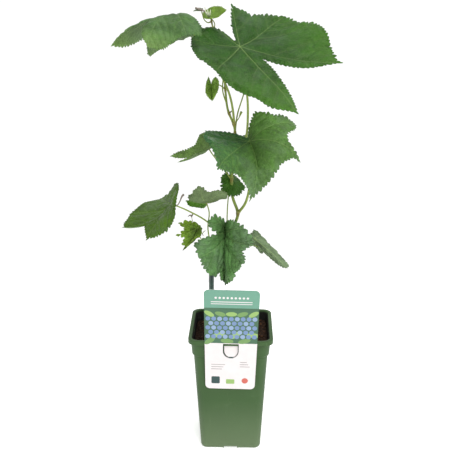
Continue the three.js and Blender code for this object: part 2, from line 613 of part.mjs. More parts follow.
// The blade as a closed body: rings of the outline shrunk toward the stalk,
// once for the upper and once for the under side.
function buildBlade(leaf) {
  const edge = outline(leaf);
  const count = edge.length;
  const positions = [];
  const index = [];
  for (const sign of [1, -1]) {
    const flat = [[0, 0]];
    for (let ring = 1; ring <= leaf.rings; ring++) {
      edge.forEach(([x, y]) => flat.push([(x * ring) / leaf.rings, (y * ring) / leaf.rings]));
    }
    flat.forEach(([x, y]) => {
      const p = bend(leaf, x, y).addScaledVector(bladeNormal(leaf, x, y), (sign * leaf.thickness) / 2);
      positions.push(p.x, p.y, p.z);
    });
  }
  const under = 1 + leaf.rings * count;
  const add = (a, b, c) => {
    index.push(a, c, b);
    index.push(under + a, under + b, under + c);
  };
  for (let i = 0; i < count; i++) {
    const next = (i + 1) % count;
    add(0, 1 + i, 1 + next);
    for (let ring = 0; ring + 1 < leaf.rings; ring++) {
      const a = 1 + ring * count + i;
      const b = 1 + ring * count + next;
      add(a, a + count, b + count);
      add(a, b + count, b);
    }
    const outer = 1 + (leaf.rings - 1) * count;
    index.push(outer + i, outer + next, under + outer + i);
    index.push(outer + next, under + outer + next, under + outer + i);
  }
  const geometry = new THREE.BufferGeometry();
  geometry.setAttribute("position", new THREE.Float32BufferAttribute(positions, 3));
  geometry.setIndex(index);
  return toSolid(geometry);
}

function buildLeaf(leaf, keepClear) {
  const [foot, tip] = leaf.stalkRadius;
  const end = bend(leaf, 0, 0).addScaledVector(bladeNormal(leaf, 0, 0), -0.25 * leaf.thickness);
  const path = [...leaf.stalk, [end.x, end.y, end.z]];
  const stalk = limb(path, taper(foot, tip), 6, 2 * path.length);
  return largest(buildBlade(leaf).add(stalk).subtract(keepClear));
}

// ------------------------------------------------------------------ assembly

const shootRadius = taper(SHOOT.footRadius, SHOOT.tipRadius);
const shootSegments = 34;

function woodRadius(extra) {
  return (t) => {
    const flare = (WOOD.footRadius - WOOD.radius) * (1 - Math.min(1, t / 0.25)) ** 2;
    const crown = t > 0.96 ? -1.2 * ((t - 0.96) / 0.04) ** 2 : 0;
    return WOOD.radius + flare + crown + extra;
  };
}

const wood = limb([WOOD.foot, WOOD.top], woodRadius(0), 12, 12);
const footBelow = [WOOD.foot[0], WOOD.foot[1], WOOD.foot[2] - 1];
const topAbove = [WOOD.top[0], WOOD.top[1], WOOD.top[2] + GAP];
const aroundWood = limb([footBelow, topAbove], woodRadius(GAP + 0.1), 12, 12);
const shoot = limb(SHOOT.path, shootRadius, SHOOT.sides, shootSegments);
const aroundShoot = limb(SHOOT.path, (t) => shootRadius(t) + GAP + 0.05, SHOOT.sides, shootSegments);
const keepClear = aroundShoot.add(aroundWood);

const part = new THREE.Group();
part.name = "grapevine_potted";

part.add(node("pot", buildPot(), surface(0x557348, 0.55)));
part.add(node("soil", buildSoil(), surface(0x2b1c12, 0.95)));
part.add(node("label_card", buildLabel(), surface(0xe6dcdc, 0.4)));
part.add(node("trunk_old_wood", wood, surface(0x1f3d35, 0.5)));
part.add(node("main_shoot", largest(shoot.subtract(aroundWood)), surface(0x6f8046, 0.6)));

const vineLeaves = new THREE.Group();
vineLeaves.name = "leaves";
LEAVES.forEach((leaf) => {
  const solid = buildLeaf(leaf, keepClear);
  vineLeaves.add(node(leaf.name, solid, surface(leaf.colour, 0.6), leaf.at));
});
part.add(vineLeaves);

export default part;
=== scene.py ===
"""Dresses the young potted grapevine: toothed and veined leaves, a ridged shoot, waxed
old wood, crumbly soil, a moulded nursery pot and a printed plant card."""

import math
import random

import bmesh
import bpy
import numpy as np
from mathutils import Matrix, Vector, kdtree, noise
from mathutils.geometry import delaunay_2d_cdt


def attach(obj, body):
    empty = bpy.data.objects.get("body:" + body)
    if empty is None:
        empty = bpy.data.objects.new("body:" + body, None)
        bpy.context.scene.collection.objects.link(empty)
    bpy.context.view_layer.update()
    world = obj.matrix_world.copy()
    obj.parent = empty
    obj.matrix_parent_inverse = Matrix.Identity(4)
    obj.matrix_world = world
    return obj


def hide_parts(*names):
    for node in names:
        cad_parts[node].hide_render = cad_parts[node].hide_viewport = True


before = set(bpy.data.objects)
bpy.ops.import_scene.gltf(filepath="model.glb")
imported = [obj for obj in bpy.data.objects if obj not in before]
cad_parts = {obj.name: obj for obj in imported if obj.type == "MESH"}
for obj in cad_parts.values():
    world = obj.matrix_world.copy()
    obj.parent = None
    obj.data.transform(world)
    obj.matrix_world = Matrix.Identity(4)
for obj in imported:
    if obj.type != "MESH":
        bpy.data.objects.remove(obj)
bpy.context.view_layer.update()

MM = 0.001

# ------------------------------------------------------------------ shared sizes, in millimetres

POT_HEIGHT = 164
POT_WALL = 1.5
POT_FLOOR = 1.6
BASE_HALF = 40.2
BODY_TOP_HALF = 48.3
COLLAR_HALF = 51.8
COLLAR_FOOT_HALF = 50.2
LIP_HALF = 55
COLLAR_DROP = 24
LIP_DROP = 6
SKIRT_WALL = 1.2
FOOT_ROUNDING = 3
NOTCH_WIDTH, NOTCH_HEIGHT, NOTCH_DEPTH = 18, 3, 14
DRAIN_RADIUS = 3.2
SLOT_LENGTH, SLOT_HEIGHT, SLOT_DROP = 9, 3, 8.2
SOIL_LEVEL = 152.5
CRUMBS, FIBRES = 1150, 150  # places tried for each
GAP = 0.3
LIP_MIDDLE = POT_HEIGHT - LIP_DROP / 2
SOIL_HALF, SOIL_CORNER = COLLAR_FOOT_HALF - POT_WALL - GAP, 9.6

CARD = dict(top=70, foot=64.5, height=146.5, thick=0.6, corner=6, lean=7.5, swing=-1, level=239, middle=0.6)
TONGUE_TOP, TONGUE_FOOT, TONGUE_HALF, TONGUE_CUT = 161.7, 141, 9.6, 0.8
# width of the shadow painted along the cut round the tongue
CUT_SHADOW_WIDTH = 0.5

WOOD_FOOT, WOOD_TOP, WOOD_RADIUS, WOOD_FLARE = (-26.5, 4, 150), (-26.5, 4, 240), 3.6, 4.3
WOOD_SCALE = 94  # length along which the rings and the wax are placed
WOOD_RINGS = ((52, 2.4, 0.35), (22, 2, 0.25))  # place, half width and height of each swollen ring

SHOOT_PATH = [
    (-26, 4, 234), (-23, 6, 249), (-12, 8, 277), (5, 8, 305), (8, 8, 317), (1, 8, 340),
    (0, 9, 374), (4, 9, 416), (3, 9, 430), (-5, 7, 451), (-8, 6, 474), (-11, 4, 512),
    (-16, 3, 536), (-23, 2, 551), (-25, 1, 560),
]
SHOOT_FOOT, SHOOT_TIP = 2.3, 0.9

LOBE_ANGLE = (50, 104, 150)
NOTCH_ANGLE = (25, 78, 128)
NOTCH_UNCUT = (0.8, 0.74, 0.58)
NOTCH_CUT = (0.52, 0.5, 0.46)
SINUS_ANGLE, SINUS_REACH = 174, 0.1
HALF_WIDTH = 0.75
FOLD_SOFTNESS = 0.02


def half(lobes, cuts, spread, lift, curl):
    return dict(lobes=lobes, cuts=cuts, spread=spread, lift=lift, curl=curl)


def leaf(name, at, pose, length, width, right, left, bow, fullness, stalk, radii, colour, slot, **looks):
    """bow is arch, back and twist of the midrib; looks are what differs from the usual blade, such as
    bulges and bays of the margin as (angle, half width in degrees, share)."""
    made = dict(name=name, at=at, pose=pose, length=length, width=width, right=right, left=left, bow=bow,
                fullness=fullness, stalk=stalk, radii=radii, colour=colour, slot=slot)
    # one of the looks sets how much sheen is painted into the upper side's colour
    made.update(tooth=0.46 * length**0.5, height=0.6, quilt=0.014, wave=0.008, pleat=0.05, bulges=(),
                bloom=0.4, contrast=1, fold=0, turned=False, yellow=0, second=())
    made.update(looks)
    return made


# The values of most leaves that the photo shows were fitted to their outlines in it by a separate
# program, then rounded. The bulges were chosen one by one. The four at the back are guessed.
LEAVES = [
    leaf("leaf_top_large", (10, -22, 529.5), (-59, -28, 18), 137, 0.89,
         half((0.52, 0.47, 0.31), (0.2, 0.9, 1.5), 1.09, 3, -40),
         half((0.91, 0.68, 0.54), (1.9, -0.6, 0.6), 1.06, -19, -33), (-1, -56, 0), 0.2,
         [(1, 9, 376), (11, 10, 397), (18, 7, 417), (20, 3, 443), (19, 0, 469), (14, -5, 501)],
         (1.7, 1.2), "365724", "leaf_mature", height=0.45,
         second=("4c7632", "out", 0.35, 0.95),
         bulges=[(-13, 7, -0.08), (12, 6, 0.05), (19, 4, -0.03), (-29, 3, -0.08), (-40, 6, 0.05),
                 (-53, 1.5, 0.04), (-66, 7, -0.03), (-99, 5, -0.06), (-137, 8, -0.05),
                 (-151, 6, -0.04), (-162, 4, -0.05), (76, 5, 0.05), (163, 4, -0.08)]),
    leaf("leaf_top_arched", (-67, -22, 566), (-175, -6, 6), 83, 1.16,
         half((0.86, 0.99, 0.6), (1.2, 0.3, -0.4), 0.96, -54, -51),
         half((0.96, 0.61, 0.21), (2.9, 0, -0.8), 1.02, 0, 60), (41, 56, 14), 0.8,
         [(3, 9, 433), (1, 4, 453), (-4, 0, 474), (-19, -1, 505), (-38, -3, 533), (-56, -12, 554)],
         (1.5, 1.1), "4f7040", "leaf_mature", tooth=4,
         second=("84a560", "out", 0.6, 1)),
    leaf("leaf_middle_large", (22, -24, 417), (-69, -26, 7), 76, 1.47,
         half((0.94, 0.55, 0.53), (0.1, 0.2, 0.5), 0.84, 11, -17),
         half((0.62, 0.76, 0.5), (0.8, 1.2, 0.7), 1.04, 44, 76), (60, -41, -27), 0,
         [(8, 8, 317), (17, 5, 330), (22, 0, 349), (23, -8, 378), (23, -19, 407)],
         (1.9, 1.2), "5b8043", "leaf_bluish", tooth=5, height=0.55, bloom=0.7, contrast=1.2,
         second=("46704a", "round", 5, 70),
         bulges=[(0, 3, 0.06), (-22, 6, 0.05), (-52, 4, 0.14), (-67, 7, -0.1), (-113, 4, -0.06),
                 (-127, 3, -0.05), (130, 6, 0.05)]),
    leaf("leaf_left_low", (-74, -14, 334), (-170, -58, 2), 75, 1.15,
         half((0.91, 0.67, 0.64), (-0.4, -0.8, 0.8), 0.73, 9, 6),
         half((0.9, 0.64, 0.44), (0.5, -0.1, 0.1), 0.86, 29, 56), (-73, -5, -10), 0.2,
         [(-12, 8, 277), (-16, 6, 290), (-33, -1, 309), (-56, -10, 325)],
         (1.2, 0.9), "4e6d20", "leaf_mature", tooth=4.6, height=0.55,
         bulges=[(0, 4, -0.03), (100, 6, -0.05)]),
    leaf("leaf_front_low", (-8, -13, 296), (-103, -79, -27), 65, 1.3,
         half((0.75, 0.26, 0.51), (-0.8, 0.3, 0.8), 0.9, 74, 99),
         half((1.01, 0.78, 0.62), (-1.5, 0.1, -1.4), 0.71, 96, 42), (-31, 6, 1), 0.4,
         [(-1, 8, 296), (-5, -3, 302)],
         (1.3, 1), "5d8350", "leaf_bluish", tooth=7, height=0.5, quilt=0.022, bloom=1,
         contrast=1.4, fold=0.9,
         bulges=[(14.5, 1.7, -0.14), (-25, 2, -0.05), (-34, 2.5, -0.04), (-42, 3, 0.04), (62, 4, -0.04)]),
    leaf("leaf_left_middle", (-29, 2, 403), (168, -32, -5), 51, 0.79,
         half((0.59, 0.81, 0.36), (0.4, -0.3, 0), 0.96, 17, -37),
         half((0.93, 0.86, 0.4), (1.2, -0.6, 1.3), 0.76, -11, -49), (-41, -73, -13), 0.6,
         [(0, 9, 361), (-14, 8, 381), (-25, 4, 396)],
         (1.1, 0.8), "6c8b4c", "leaf_mature", contrast=1.2),
    leaf("leaf_young_behind", (0, 14, 362), (-53, -52, -8), 22, 1.02,
         half((0.95, 0.65, 0.47), (-0.7, 0.12, 0.4), 0.97, -10, 8),
         half((0.89, 0.74, 0.5), (-0.16, 0.25, 0.32), 0.95, -18, 0), (0, 0, 25), 0.71,
         [(-5, 8, 291), (-6, 13, 309), (-4, 16, 341), (-1, 16, 358)],
         (0.9, 0.7), "4d7a34", "leaf_mature", tooth=3.6, height=0.7,
         bulges=[(0, 170, 0.12)]),
    leaf("leaf_left_edge_on", (-31.9, -2.2, 333.1), (-107, 22, 11), 36.3, 0.96,
         half((0.73, 0.54, 0.74), (-0.3, 0.3, -0.1), 1.01, -12, -14),
         half((1.33, 0.74, 0.58), (0, -0.1, 0), 1.03, 26, 42), (-53, -8, -10), 0.2,
         [(-21, 6.5, 254), (-28, 12, 275), (-31, 9, 296), (-29, 3, 319)],
         (1, 0.8), "6e834a", "leaf_underside", tooth=4.5, height=0.45, contrast=1.6, bloom=1,
         second=("5a8a34", "round", 44, 54),
         bulges=[(0, 8, 0.03), (-20, 8, -0.06), (25, 8, -0.08), (46, 3, -0.1), (60, 8, 0.05)]),
    leaf("leaf_young_yellow", (-43, -3.6, 300.7), (174, -73, -76), 33.9, 0.95,
         half((0.85, 0.86, 0.26), (-0.2, 0.8, 0.4), 0.86, 19, -28),
         half((1.01, 0.93, 0.21), (0.1, -1, 1.2), 0.82, 47, -20), (-44, -7, 23), 0.3,
         [(-20, 7, 258), (-34, 1, 277), (-43, -4, 292)],
         (0.8, 0.6), "6f9238", "leaf_young", tooth=8, height=0.45,
         contrast=2, fold=1, yellow=0.6, pleat=0.09,
         bulges=[(28, 6, -0.16), (42, 4, 0.12), (17, 5, 0.06), (85, 5, -0.04), (-8, 8, 0.06)]),
    leaf("leaf_right_rolled", (30, -9, 288), (-33, -30, 56), 56, 1.02,
         half((0.77, 0.66, 0.24), (0.26, 0.22, 0.44), 0.84, -68, 27),
         half((0.8, 0.6, 0.22), (0.46, 0.06, 0.42), 0.94, -64, 27), (26, 0, -7), 0.95,
         [(-5, 8, 288), (8, 10, 291), (22, 2, 290)],
         (1, 0.8), "6c8560", "leaf_underside", turned=True, contrast=2.2,
         bulges=[(40, 20, -0.45), (82, 16, -0.25), (-64, 16, -0.4), (-9, 5, 0.1)]),
    leaf("leaf_tip_young", (-27.5, 3, 561.6), (2, 6, -5), 23, 1.02,
         half((0.72, 0.8, 0.36), (0.1, 0.2, 0.4), 0.94, 1, 15),
         half((0.89, 0.73, 0.35), (-0.6, -0.2, 0.4), 1.02, 44, 0), (-38, -20, 13), 0.5,
         [(-22, 2, 549), (-21, 6, 555), (-24, 6, 560)],
         (0.7, 0.6), "678738", "leaf_young", contrast=1.8, yellow=0.4),
    leaf("leaf_tip_unfolding", (-36.5, 1, 570), (180, 6, 0), 10, 0.8,
         half((0.7, 0.5, 0.3), (0.3, 0.3, 0.3), 0.8, 56, 10),
         half((0.7, 0.5, 0.3), (0.3, 0.3, 0.3), 0.8, 56, 10), (14, 0, 0), 0.5,
         [(-24.5, 1.2, 558), (-29, 2, 556.5), (-33.5, 2, 560), (-35.5, 1.5, 566)],
         (0.7, 0.6), "a3a992", "leaf_young"),
    leaf("leaf_young_upper", (-24.7, -12.8, 483.4), (-79, -69, 1), 19, 1.04,
         half((0.82, 0.61, 0.58), (-0.3, 0, 0.3), 0.97, 43, -26),
         half((0.8, 0.63, 0.59), (-0.3, 0.2, -0.1), 0.96, 46, -9), (-1, 3, 17), 0.4,
         [(-8, 6, 476), (-14, -2, 482), (-22, -10, 485)],
         (0.8, 0.6), "93ba5a", "leaf_young", contrast=1.6, fold=0.6, yellow=0.4),
    leaf("leaf_back_upper", (21, 30, 484), (46, -28, 0), 52, 1,
         half((0.88, 0.7, 0.52), (0.4, 0.3, 0.3), 0.95, 4, 18),
         half((0.88, 0.72, 0.54), (0.5, 0.3, 0.3), 0.95, 8, 14), (30, 6, 6), 0.5,
         [(4, 9, 422), (7, 13, 445), (13, 19, 464), (18, 27, 479)],
         (1, 0.8), "4a7237", "leaf_mature"),
    leaf("leaf_back_crown", (2, 36, 526), (118, -14, 0), 50, 1,
         half((0.86, 0.7, 0.5), (0.5, 0.3, 0.3), 0.92, 6, 16),
         half((0.86, 0.7, 0.52), (0.4, 0.3, 0.3), 0.92, 5, 16), (34, 8, -8), 0.5,
         [(-3, 7, 446), (-7, 14, 458), (-12, 22, 474), (-10, 30, 494), (-3, 35, 514)],
         (0.9, 0.7), "507a3a", "leaf_mature"),
    leaf("leaf_back_middle", (12, 38, 408), (70, -24, 0), 56, 1,
         half((0.86, 0.7, 0.5), (0.4, 0.3, 0.3), 0.95, 8, 18),
         half((0.86, 0.7, 0.52), (0.4, 0.3, 0.3), 0.95, 6, 16), (30, 8, 8), 0.5,
         [(3, 9, 402), (6, 20, 402), (10, 32, 406)],
         (1.1, 0.8), "4c7539", "leaf_mature"),
    leaf("leaf_back_low", (-4, 35, 272), (94, -28, 0), 44, 1,
         half((0.86, 0.7, 0.5), (0.4, 0.3, 0.3), 0.95, 6, 18),
         half((0.86, 0.7, 0.52), (0.3, 0.3, 0.3), 0.95, 8, 20), (26, 8, -6), 0.5,
         [(-9, 8, 283), (-8, 18, 279), (-5, 31, 271)],
         (0.9, 0.7), "567e40", "leaf_mature"),
]


GREEN, DRIED, PALED = range(3)

# finish, half widths at the foot, middle and end, then the way it goes
SMALL_GROWTHS = (
    (GREEN, (0.35, 0.3, 0.3), [(-43, -3.5, 296), (-48, -3, 304), (-50.1, -4, 309.4), (-51.2, -4, 314.5)]),
    (DRIED, (0.4, 0.9, 0.3), [(-51.2, -4, 314.5), (-52.7, -4.2, 317.2), (-56.2, -4.6, 315.5)]),
    (DRIED, (0.4, 0.8, 0.3), [(-51.2, -4, 314.5), (-49.7, -4.2, 318.6), (-46.9, -4.6, 319.2)]),
    (GREEN, (0.45, 0.35, 0.4), [(-43, -4, 292.5), (-40, -6, 294.5), (-37.6, -6, 293.2), (-35.4, -6, 296),
                                (-33.5, -6, 297)]),
    (DRIED, (0.3, 0.4, 0.5), [(-37.6, -6, 293.2), (-37, -6.4, 292), (-36.4, -6.6, 290.6)]),
    (GREEN, (0.4, 0.35, 0.25), [(35, -7, 276), (31, -8, 277.6), (27, -8, 277.9), (23.6, -6, 275.5)]),
    (DRIED, (0.5, 0.6, 1.1), [(-71, -13.6, 332), (-67.5, -14.5, 334), (-65, -14.5, 338.5),
                              (-62.4, -14, 344.5), (-60.2, -14, 347)]),
    (DRIED, (0.5, 0.8, 1), [(-28, -2, 563), (-32.5, -3, 569.5), (-38.4, -2, 571.8), (-43.8, -1, 573.6)]),
    (PALED, (0.8, 1, 0.3), [(-27.6, 0, 561.5), (-29.5, -5, 566), (-31.6, -5, 570), (-32.2, -4, 575)]),
    (PALED, (0.8, 1.1, 0.3), [(-27.4, 0, 561.5), (-28.4, -6, 567), (-28.9, -6, 572)]),
    (PALED, (0.7, 0.9, 0.3), [(-27.2, 0, 561.8), (-26.3, -6, 567), (-25.4, -6, 571.5)]),
    (GREEN, (0.4, 0.5, 1.3), [(5.4, 11.4, 435), (9, 9, 441), (10.8, 8, 445.8), (12.1, 7.5, 448.6)]),
)

# ------------------------------------------------------------------ materials

def linear(hexa):
    """Linear RGBA of an sRGB colour such as 466f34."""
    parts = [int(hexa[i:i + 2], 16) / 255 for i in (0, 2, 4)]
    return (*[c / 12.92 if c <= 0.04045 else ((c + 0.055) / 1.055) ** 2.4 for c in parts], 1)


def mixed(a, b, share):
    return tuple(x + (y - x) * share for x, y in zip(a, b))


def albedo(hexa):
    """Base colour that looks like the given one in the soft white light of the studio."""
    return (*[max(0.004, (c - 0.02) / 1.2) for c in linear(hexa)[:3]], 1)


def scaled(a, factor):
    return (*[min(1, c * factor) for c in a[:3]], 1)


# sockets of the Mix node that hold its colours
COLOUR_A, COLOUR_B, COLOUR_OUT = 6, 7, 2


class Finish:
    """A material and short ways to add its nodes."""

    def __init__(self, name, **sockets):
        self.mat = bpy.data.materials.new(name)
        self.mat.use_nodes = True
        self.tree = self.mat.node_tree
        self.shader = self.tree.nodes["Principled BSDF"]
        for key, value in sockets.items():
            self.shader.inputs[key.replace("_", " ").title().replace("Ior", "IOR")].default_value = value
        self.coords = self.tree.nodes.new("ShaderNodeTexCoord").outputs["Object"]

    def put(self, source, socket):
        if isinstance(source, bpy.types.NodeSocket):
            self.tree.links.new(source, socket)
        else:
            socket.default_value = source

    def node(self, kind, inputs):
        """A new node; each of its inputs is a number, a colour or another node's output."""
        made = self.tree.nodes.new("ShaderNode" + kind)
        for key, source in inputs.items():
            self.put(source, made.inputs[key])
        return made

    def noise(self, scale, detail=3, rough=0.55, stretch=None, distort=0):
        """Noise with features of about 1/scale metres."""
        inputs = {"Scale": scale, "Detail": detail, "Roughness": rough, "Distortion": distort}
        return self.node("TexNoise", {**inputs, "Vector": self.stretched(stretch)}).outputs["Fac"]

    def stretched(self, stretch):
        if stretch is None:
            return self.coords
        return self.node("Mapping", {"Scale": stretch, "Vector": self.coords}).outputs["Vector"]

    def cells(self, scale):
        """Distance from the lines of an irregular net."""
        made = self.node("TexVoronoi", {"Scale": scale, "Vector": self.coords})
        made.feature = "DISTANCE_TO_EDGE"
        return made.outputs["Distance"]

    def attribute(self, name):
        made = self.node("Attribute", {})
        made.attribute_name = name
        return made.outputs["Fac"]

    def range(self, value, low, high, to_low=0, to_high=1):
        return self.node("MapRange", {"Value": value, "From Min": low, "From Max": high,
                                      "To Min": to_low, "To Max": to_high}).outputs["Result"]

    def add(self, a, b):
        return self.node("Math", {0: a, 1: b}).outputs[0]

    def height(self):
        return self.node("SeparateXYZ", {0: self.coords}).outputs["Z"]

    def mix(self, share, a, b):
        made = self.tree.nodes.new("ShaderNodeMix")
        made.data_type = "RGBA"
        self.put(share, made.inputs["Factor"])
        self.put(a, made.inputs[COLOUR_A])
        self.put(b, made.inputs[COLOUR_B])
        return made.outputs[COLOUR_OUT]

    def bump(self, *layers):
        """layers are (height, distance in millimetres), from the broadest to the finest."""
        normal = None
        for value, distance in layers:
            made = self.node("Bump", {"Strength": 1, "Distance": distance * MM, "Height": value})
            if normal is not None:
                self.put(normal, made.inputs["Normal"])
            normal = made.outputs["Normal"]
        self.put(normal, self.shader.inputs["Normal"])

    def colour(self, source):
        self.put(source, self.shader.inputs["Base Color"])

    def roughness(self, source):
        self.put(source, self.shader.inputs["Roughness"])


def blade_upper(one, base, vein, sheen):
    f = Finish(one["name"] + "_upper", specular_ior_level=0.16)
    strong = one["contrast"]
    patches = f.range(f.noise(55, 5, 0.6), 0.32, 0.68)
    tone = f.mix(patches, scaled(base, 1 - 0.32 * strong), scaled(base, 1 + 0.3 * strong))
    # painted sheen: patches mixed toward grey stand in for light reflected off the waxy skin
    sheen_patches = f.range(f.noise(26, 3, 0.5, distort=0.6), 0.48, 0.72, 0, one["bloom"])
    tone = f.mix(sheen_patches, tone, mixed(base, albedo("7f8f80"), 0.5))
    if one["second"]:
        other = albedo(one["second"][0])
        other = f.mix(patches, scaled(other, 1 - 0.25 * strong), scaled(other, 1 + 0.25 * strong))
        tone = f.mix(f.attribute("second"), tone, other)
    if one["yellow"]:
        tone = f.mix(f.range(f.attribute("rim"), 0, 1, 0.1, one["yellow"]), tone, albedo("8fa63e"))
    tone = f.mix(f.range(f.attribute("puff"), 0, 0.7, 0.14, 0), tone, mixed(base, vein, 0.5))
    tone = f.mix(f.range(f.noise(210, 3, 0.6), 0.52, 0.72, 0, 0.4 * strong), tone, scaled(base, 1.8))
    dark_spots = f.range(f.noise(170, 4, 0.6, distort=0.5), 0.52, 0.74, 0, 0.45 * strong)
    tone = f.mix(dark_spots, tone, scaled(base, 0.4))
    net = f.cells(380)
    tone = f.mix(f.range(net, 0, 0.1, 0.2, 0), tone, vein)
    # painted shade: the crease along the midrib is darkened
    tone = f.mix(f.range(f.attribute("fold"), 0.1, 0.9, 0, one["fold"]), tone, scaled(base, 0.25))
    tone = f.mix(f.range(f.attribute("vein"), 0.05, 0.9, 0, 0.9), tone, vein)
    tone = f.mix(f.range(f.noise(900, 2), 0.7, 0.8, 0, 0.15), tone, linear("4a4a2a"))
    f.colour(tone)
    f.roughness(f.range(f.noise(70, 3), 0.3, 0.7, sheen - 0.1, sheen + 0.14))
    f.bump((f.range(f.noise(150, 3), 0.3, 0.7), 0.5), (f.range(net, 0, 0.25), 0.25),
           (f.noise(1500, 2), 0.06))
    return f.mat


def blade_under(one, base, vein):
    f = Finish(one["name"] + "_under", specular_ior_level=0.12)
    strong = 0.18 * one["contrast"]
    tone = f.mix(f.range(f.noise(70, 4), 0.35, 0.7), scaled(base, 1 - strong), scaled(base, 1 + strong))
    if one["second"]:
        other = albedo(one["second"][0])
        other = f.mix(f.noise(70, 4), scaled(other, 0.6), scaled(other, 1.3))
        tone = f.mix(f.attribute("second"), tone, other)
    net = f.cells(420)
    tone = f.mix(f.range(net, 0, 0.12, 0.12, 0), tone, vein)
    tone = f.mix(f.range(f.attribute("vein"), 0.05, 0.8), tone, vein)
    f.colour(tone)
    f.roughness(f.range(f.noise(300, 3), 0.3, 0.7, 0.72, 0.9))
    f.bump((f.range(net, 0, 0.25, 1, 0), 0.05), (f.noise(1200, 2), 0.02))
    return f.mat


def stem_finish(name, green, warm, share):
    """A smooth green stem, reddish at its nodes and in faint long streaks."""
    f = Finish(name, specular_ior_level=0.4)
    tone = f.mix(f.range(f.noise(90, 4), 0.3, 0.7), scaled(green, 0.85), scaled(green, 1.2))
    streak = f.range(f.noise(500, 3, stretch=(1, 1, 0.12)), 0.45, 0.75, 0, share)
    tone = f.mix(streak, tone, warm)
    tone = f.mix(f.range(f.attribute("node"), 0.1, 0.9, 0, 0.55), tone, warm)
    f.colour(tone)
    f.roughness(f.range(f.noise(400, 3), 0.3, 0.7, 0.42, 0.62))
    f.bump((f.noise(700, 3, stretch=(1, 1, 0.15)), 0.12), (f.noise(2600, 2), 0.05))
    return f.mat


# heights in metres between which the dark inside of the pot fades out
DARK_INSIDE_LINE = (0.1595, 0.1635)


def pot_finish():
    f = Finish("pot_plastic", specular_ior_level=0.25)
    base = albedo("4a6440")
    tone = f.mix(f.range(f.noise(14, 4), 0.35, 0.65), scaled(base, 0.93), scaled(base, 1.07))
    # painted light: lighter toward the foot, standing in for light thrown up from the pale floor
    tone = f.mix(f.range(f.height(), 0, 0.075, 0.62, 0), tone, albedo("7a8a6c"))
    tone = f.mix(f.range(f.noise(60, 6, 0.7), 0.6, 0.8, 0, 0.16), tone, albedo("7c8f6c"))
    scratch = f.noise(420, 3, stretch=(1, 1, 0.04), distort=0.4)
    tone = f.mix(f.range(scratch, 0.68, 0.74, 0, 0.14), tone, albedo("8a9c7a"))
    f.colour(tone)
    f.roughness(f.range(f.noise(40, 5), 0.3, 0.7, 0.42, 0.56))
    f.bump((f.noise(35, 3), 0.25), (f.noise(1900, 2), 0.05))
    return f.mat


def dark_inside_finish():
    """The inside of the pot, nearly black up to a ragged line just below the rim."""
    f = Finish("pot_inside", specular_ior_level=0.3)
    upper_wall = f.mix(f.noise(20, 3), albedo("3c4d34"), albedo("465a3e"))
    low, high = DARK_INSIDE_LINE
    ragged = f.range(f.noise(160, 5, 0.7), 0.3, 0.7, -0.3, 0.3)
    line = f.add(f.range(f.height(), low, high, 1, 0), ragged)
    f.colour(f.mix(f.range(line, 0.25, 0.75), upper_wall, linear("0f0e0a")))
    f.roughness(f.range(f.noise(200, 3), 0.3, 0.7, 0.6, 0.85))
    f.bump((f.noise(600, 4), 0.25), (f.noise(2000, 3), 0.1))
    return f.mat


def soil_finish(name, dark, light):
    f = Finish(name, specular_ior_level=0.2)
    tone = f.mix(f.range(f.noise(260, 5, 0.7), 0.35, 0.7), dark, light)
    tone = f.mix(f.range(f.noise(900, 2), 0.66, 0.76, 0, 0.5), tone, scaled(light, 1.9))
    f.colour(tone)
    f.roughness(f.range(f.noise(300, 3), 0.3, 0.7, 0.85, 1))
    f.bump((f.noise(420, 5, 0.7), 0.8), (f.noise(1800, 4, 0.7), 0.3))
    return f.mat


# dark and light of the moist peat
SOIL_COLOURS = linear("1d120c"), linear("3b281b")


def wax_finish():
    f = Finish("wax_over_wood", specular_ior_level=0.5, coat_weight=0.35, coat_roughness=0.25)
    tone = f.mix(f.range(f.noise(120, 4), 0.35, 0.7), linear("16362f"), linear("2a5348"))
    tone = f.mix(f.range(f.attribute("node"), 0.2, 1, 0, 0.5), tone, linear("3a4638"))
    f.colour(tone)
    f.roughness(f.range(f.noise(200, 3), 0.3, 0.7, 0.3, 0.5))
    f.bump((f.noise(160, 3, stretch=(1, 1, 0.4)), 0.5), (f.noise(900, 3), 0.08))
    return f.mat


def print_finish(name, colour, variation=0.06):
    """Ink on a laminated card."""
    f = Finish(name, specular_ior_level=0.5, coat_weight=0.25, coat_roughness=0.2)
    f.colour(f.mix(f.range(f.noise(90, 4), 0.3, 0.7), scaled(colour, 1 - variation),
                   scaled(colour, 1 + variation)))
    f.roughness(f.range(f.noise(260, 3), 0.3, 0.7, 0.3, 0.42))
    f.bump((f.noise(25, 2), 0.3), (f.noise(2400, 2), 0.02))
    return f.mat


# ------------------------------------------------------------------ meshes

def placed(name, data):
    """A new object in the scene around a mesh, a light or a camera."""
    made = bpy.data.objects.new(name, data)
    bpy.context.scene.collection.objects.link(made)
    return made


def plain_mesh(name, verts, faces):
    """A mesh from vertices in millimetres."""
    mesh = bpy.data.meshes.new(name)
    mesh.from_pydata((np.asarray(verts, float) * MM).tolist(), [], [list(map(int, f)) for f in faces])
    return mesh


def piece(name, verts, faces, materials, slot, replaces=(), face_material=None, values=None, uv=None,
          sharp=None):
    """A piece of the part from vertices in millimetres; values are named numbers per vertex."""
    mesh = plain_mesh(name, verts, faces)
    for made in materials:
        mesh.materials.append(made)
    if face_material is not None:
        mesh.polygons.foreach_set("material_index", np.asarray(face_material, np.int32))
    for key, numbers in (values or {}).items():
        layer = mesh.attributes.new(key, "FLOAT", "POINT")
        layer.data.foreach_set("value", np.asarray(numbers, np.float32))
    if uv is not None:
        layer = mesh.uv_layers.new(name="OFBake")
        layer.data.foreach_set("uv", np.asarray(uv, np.float32).ravel())
    mesh.polygons.foreach_set("use_smooth", [True] * len(mesh.polygons))
    if sharp is not None:
        mesh.set_sharp_from_angle(angle=math.radians(sharp))
    mesh.update()
    made = placed(name, mesh)
    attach(made, "root")
    if replaces:
        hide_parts(*replaces)
    return made


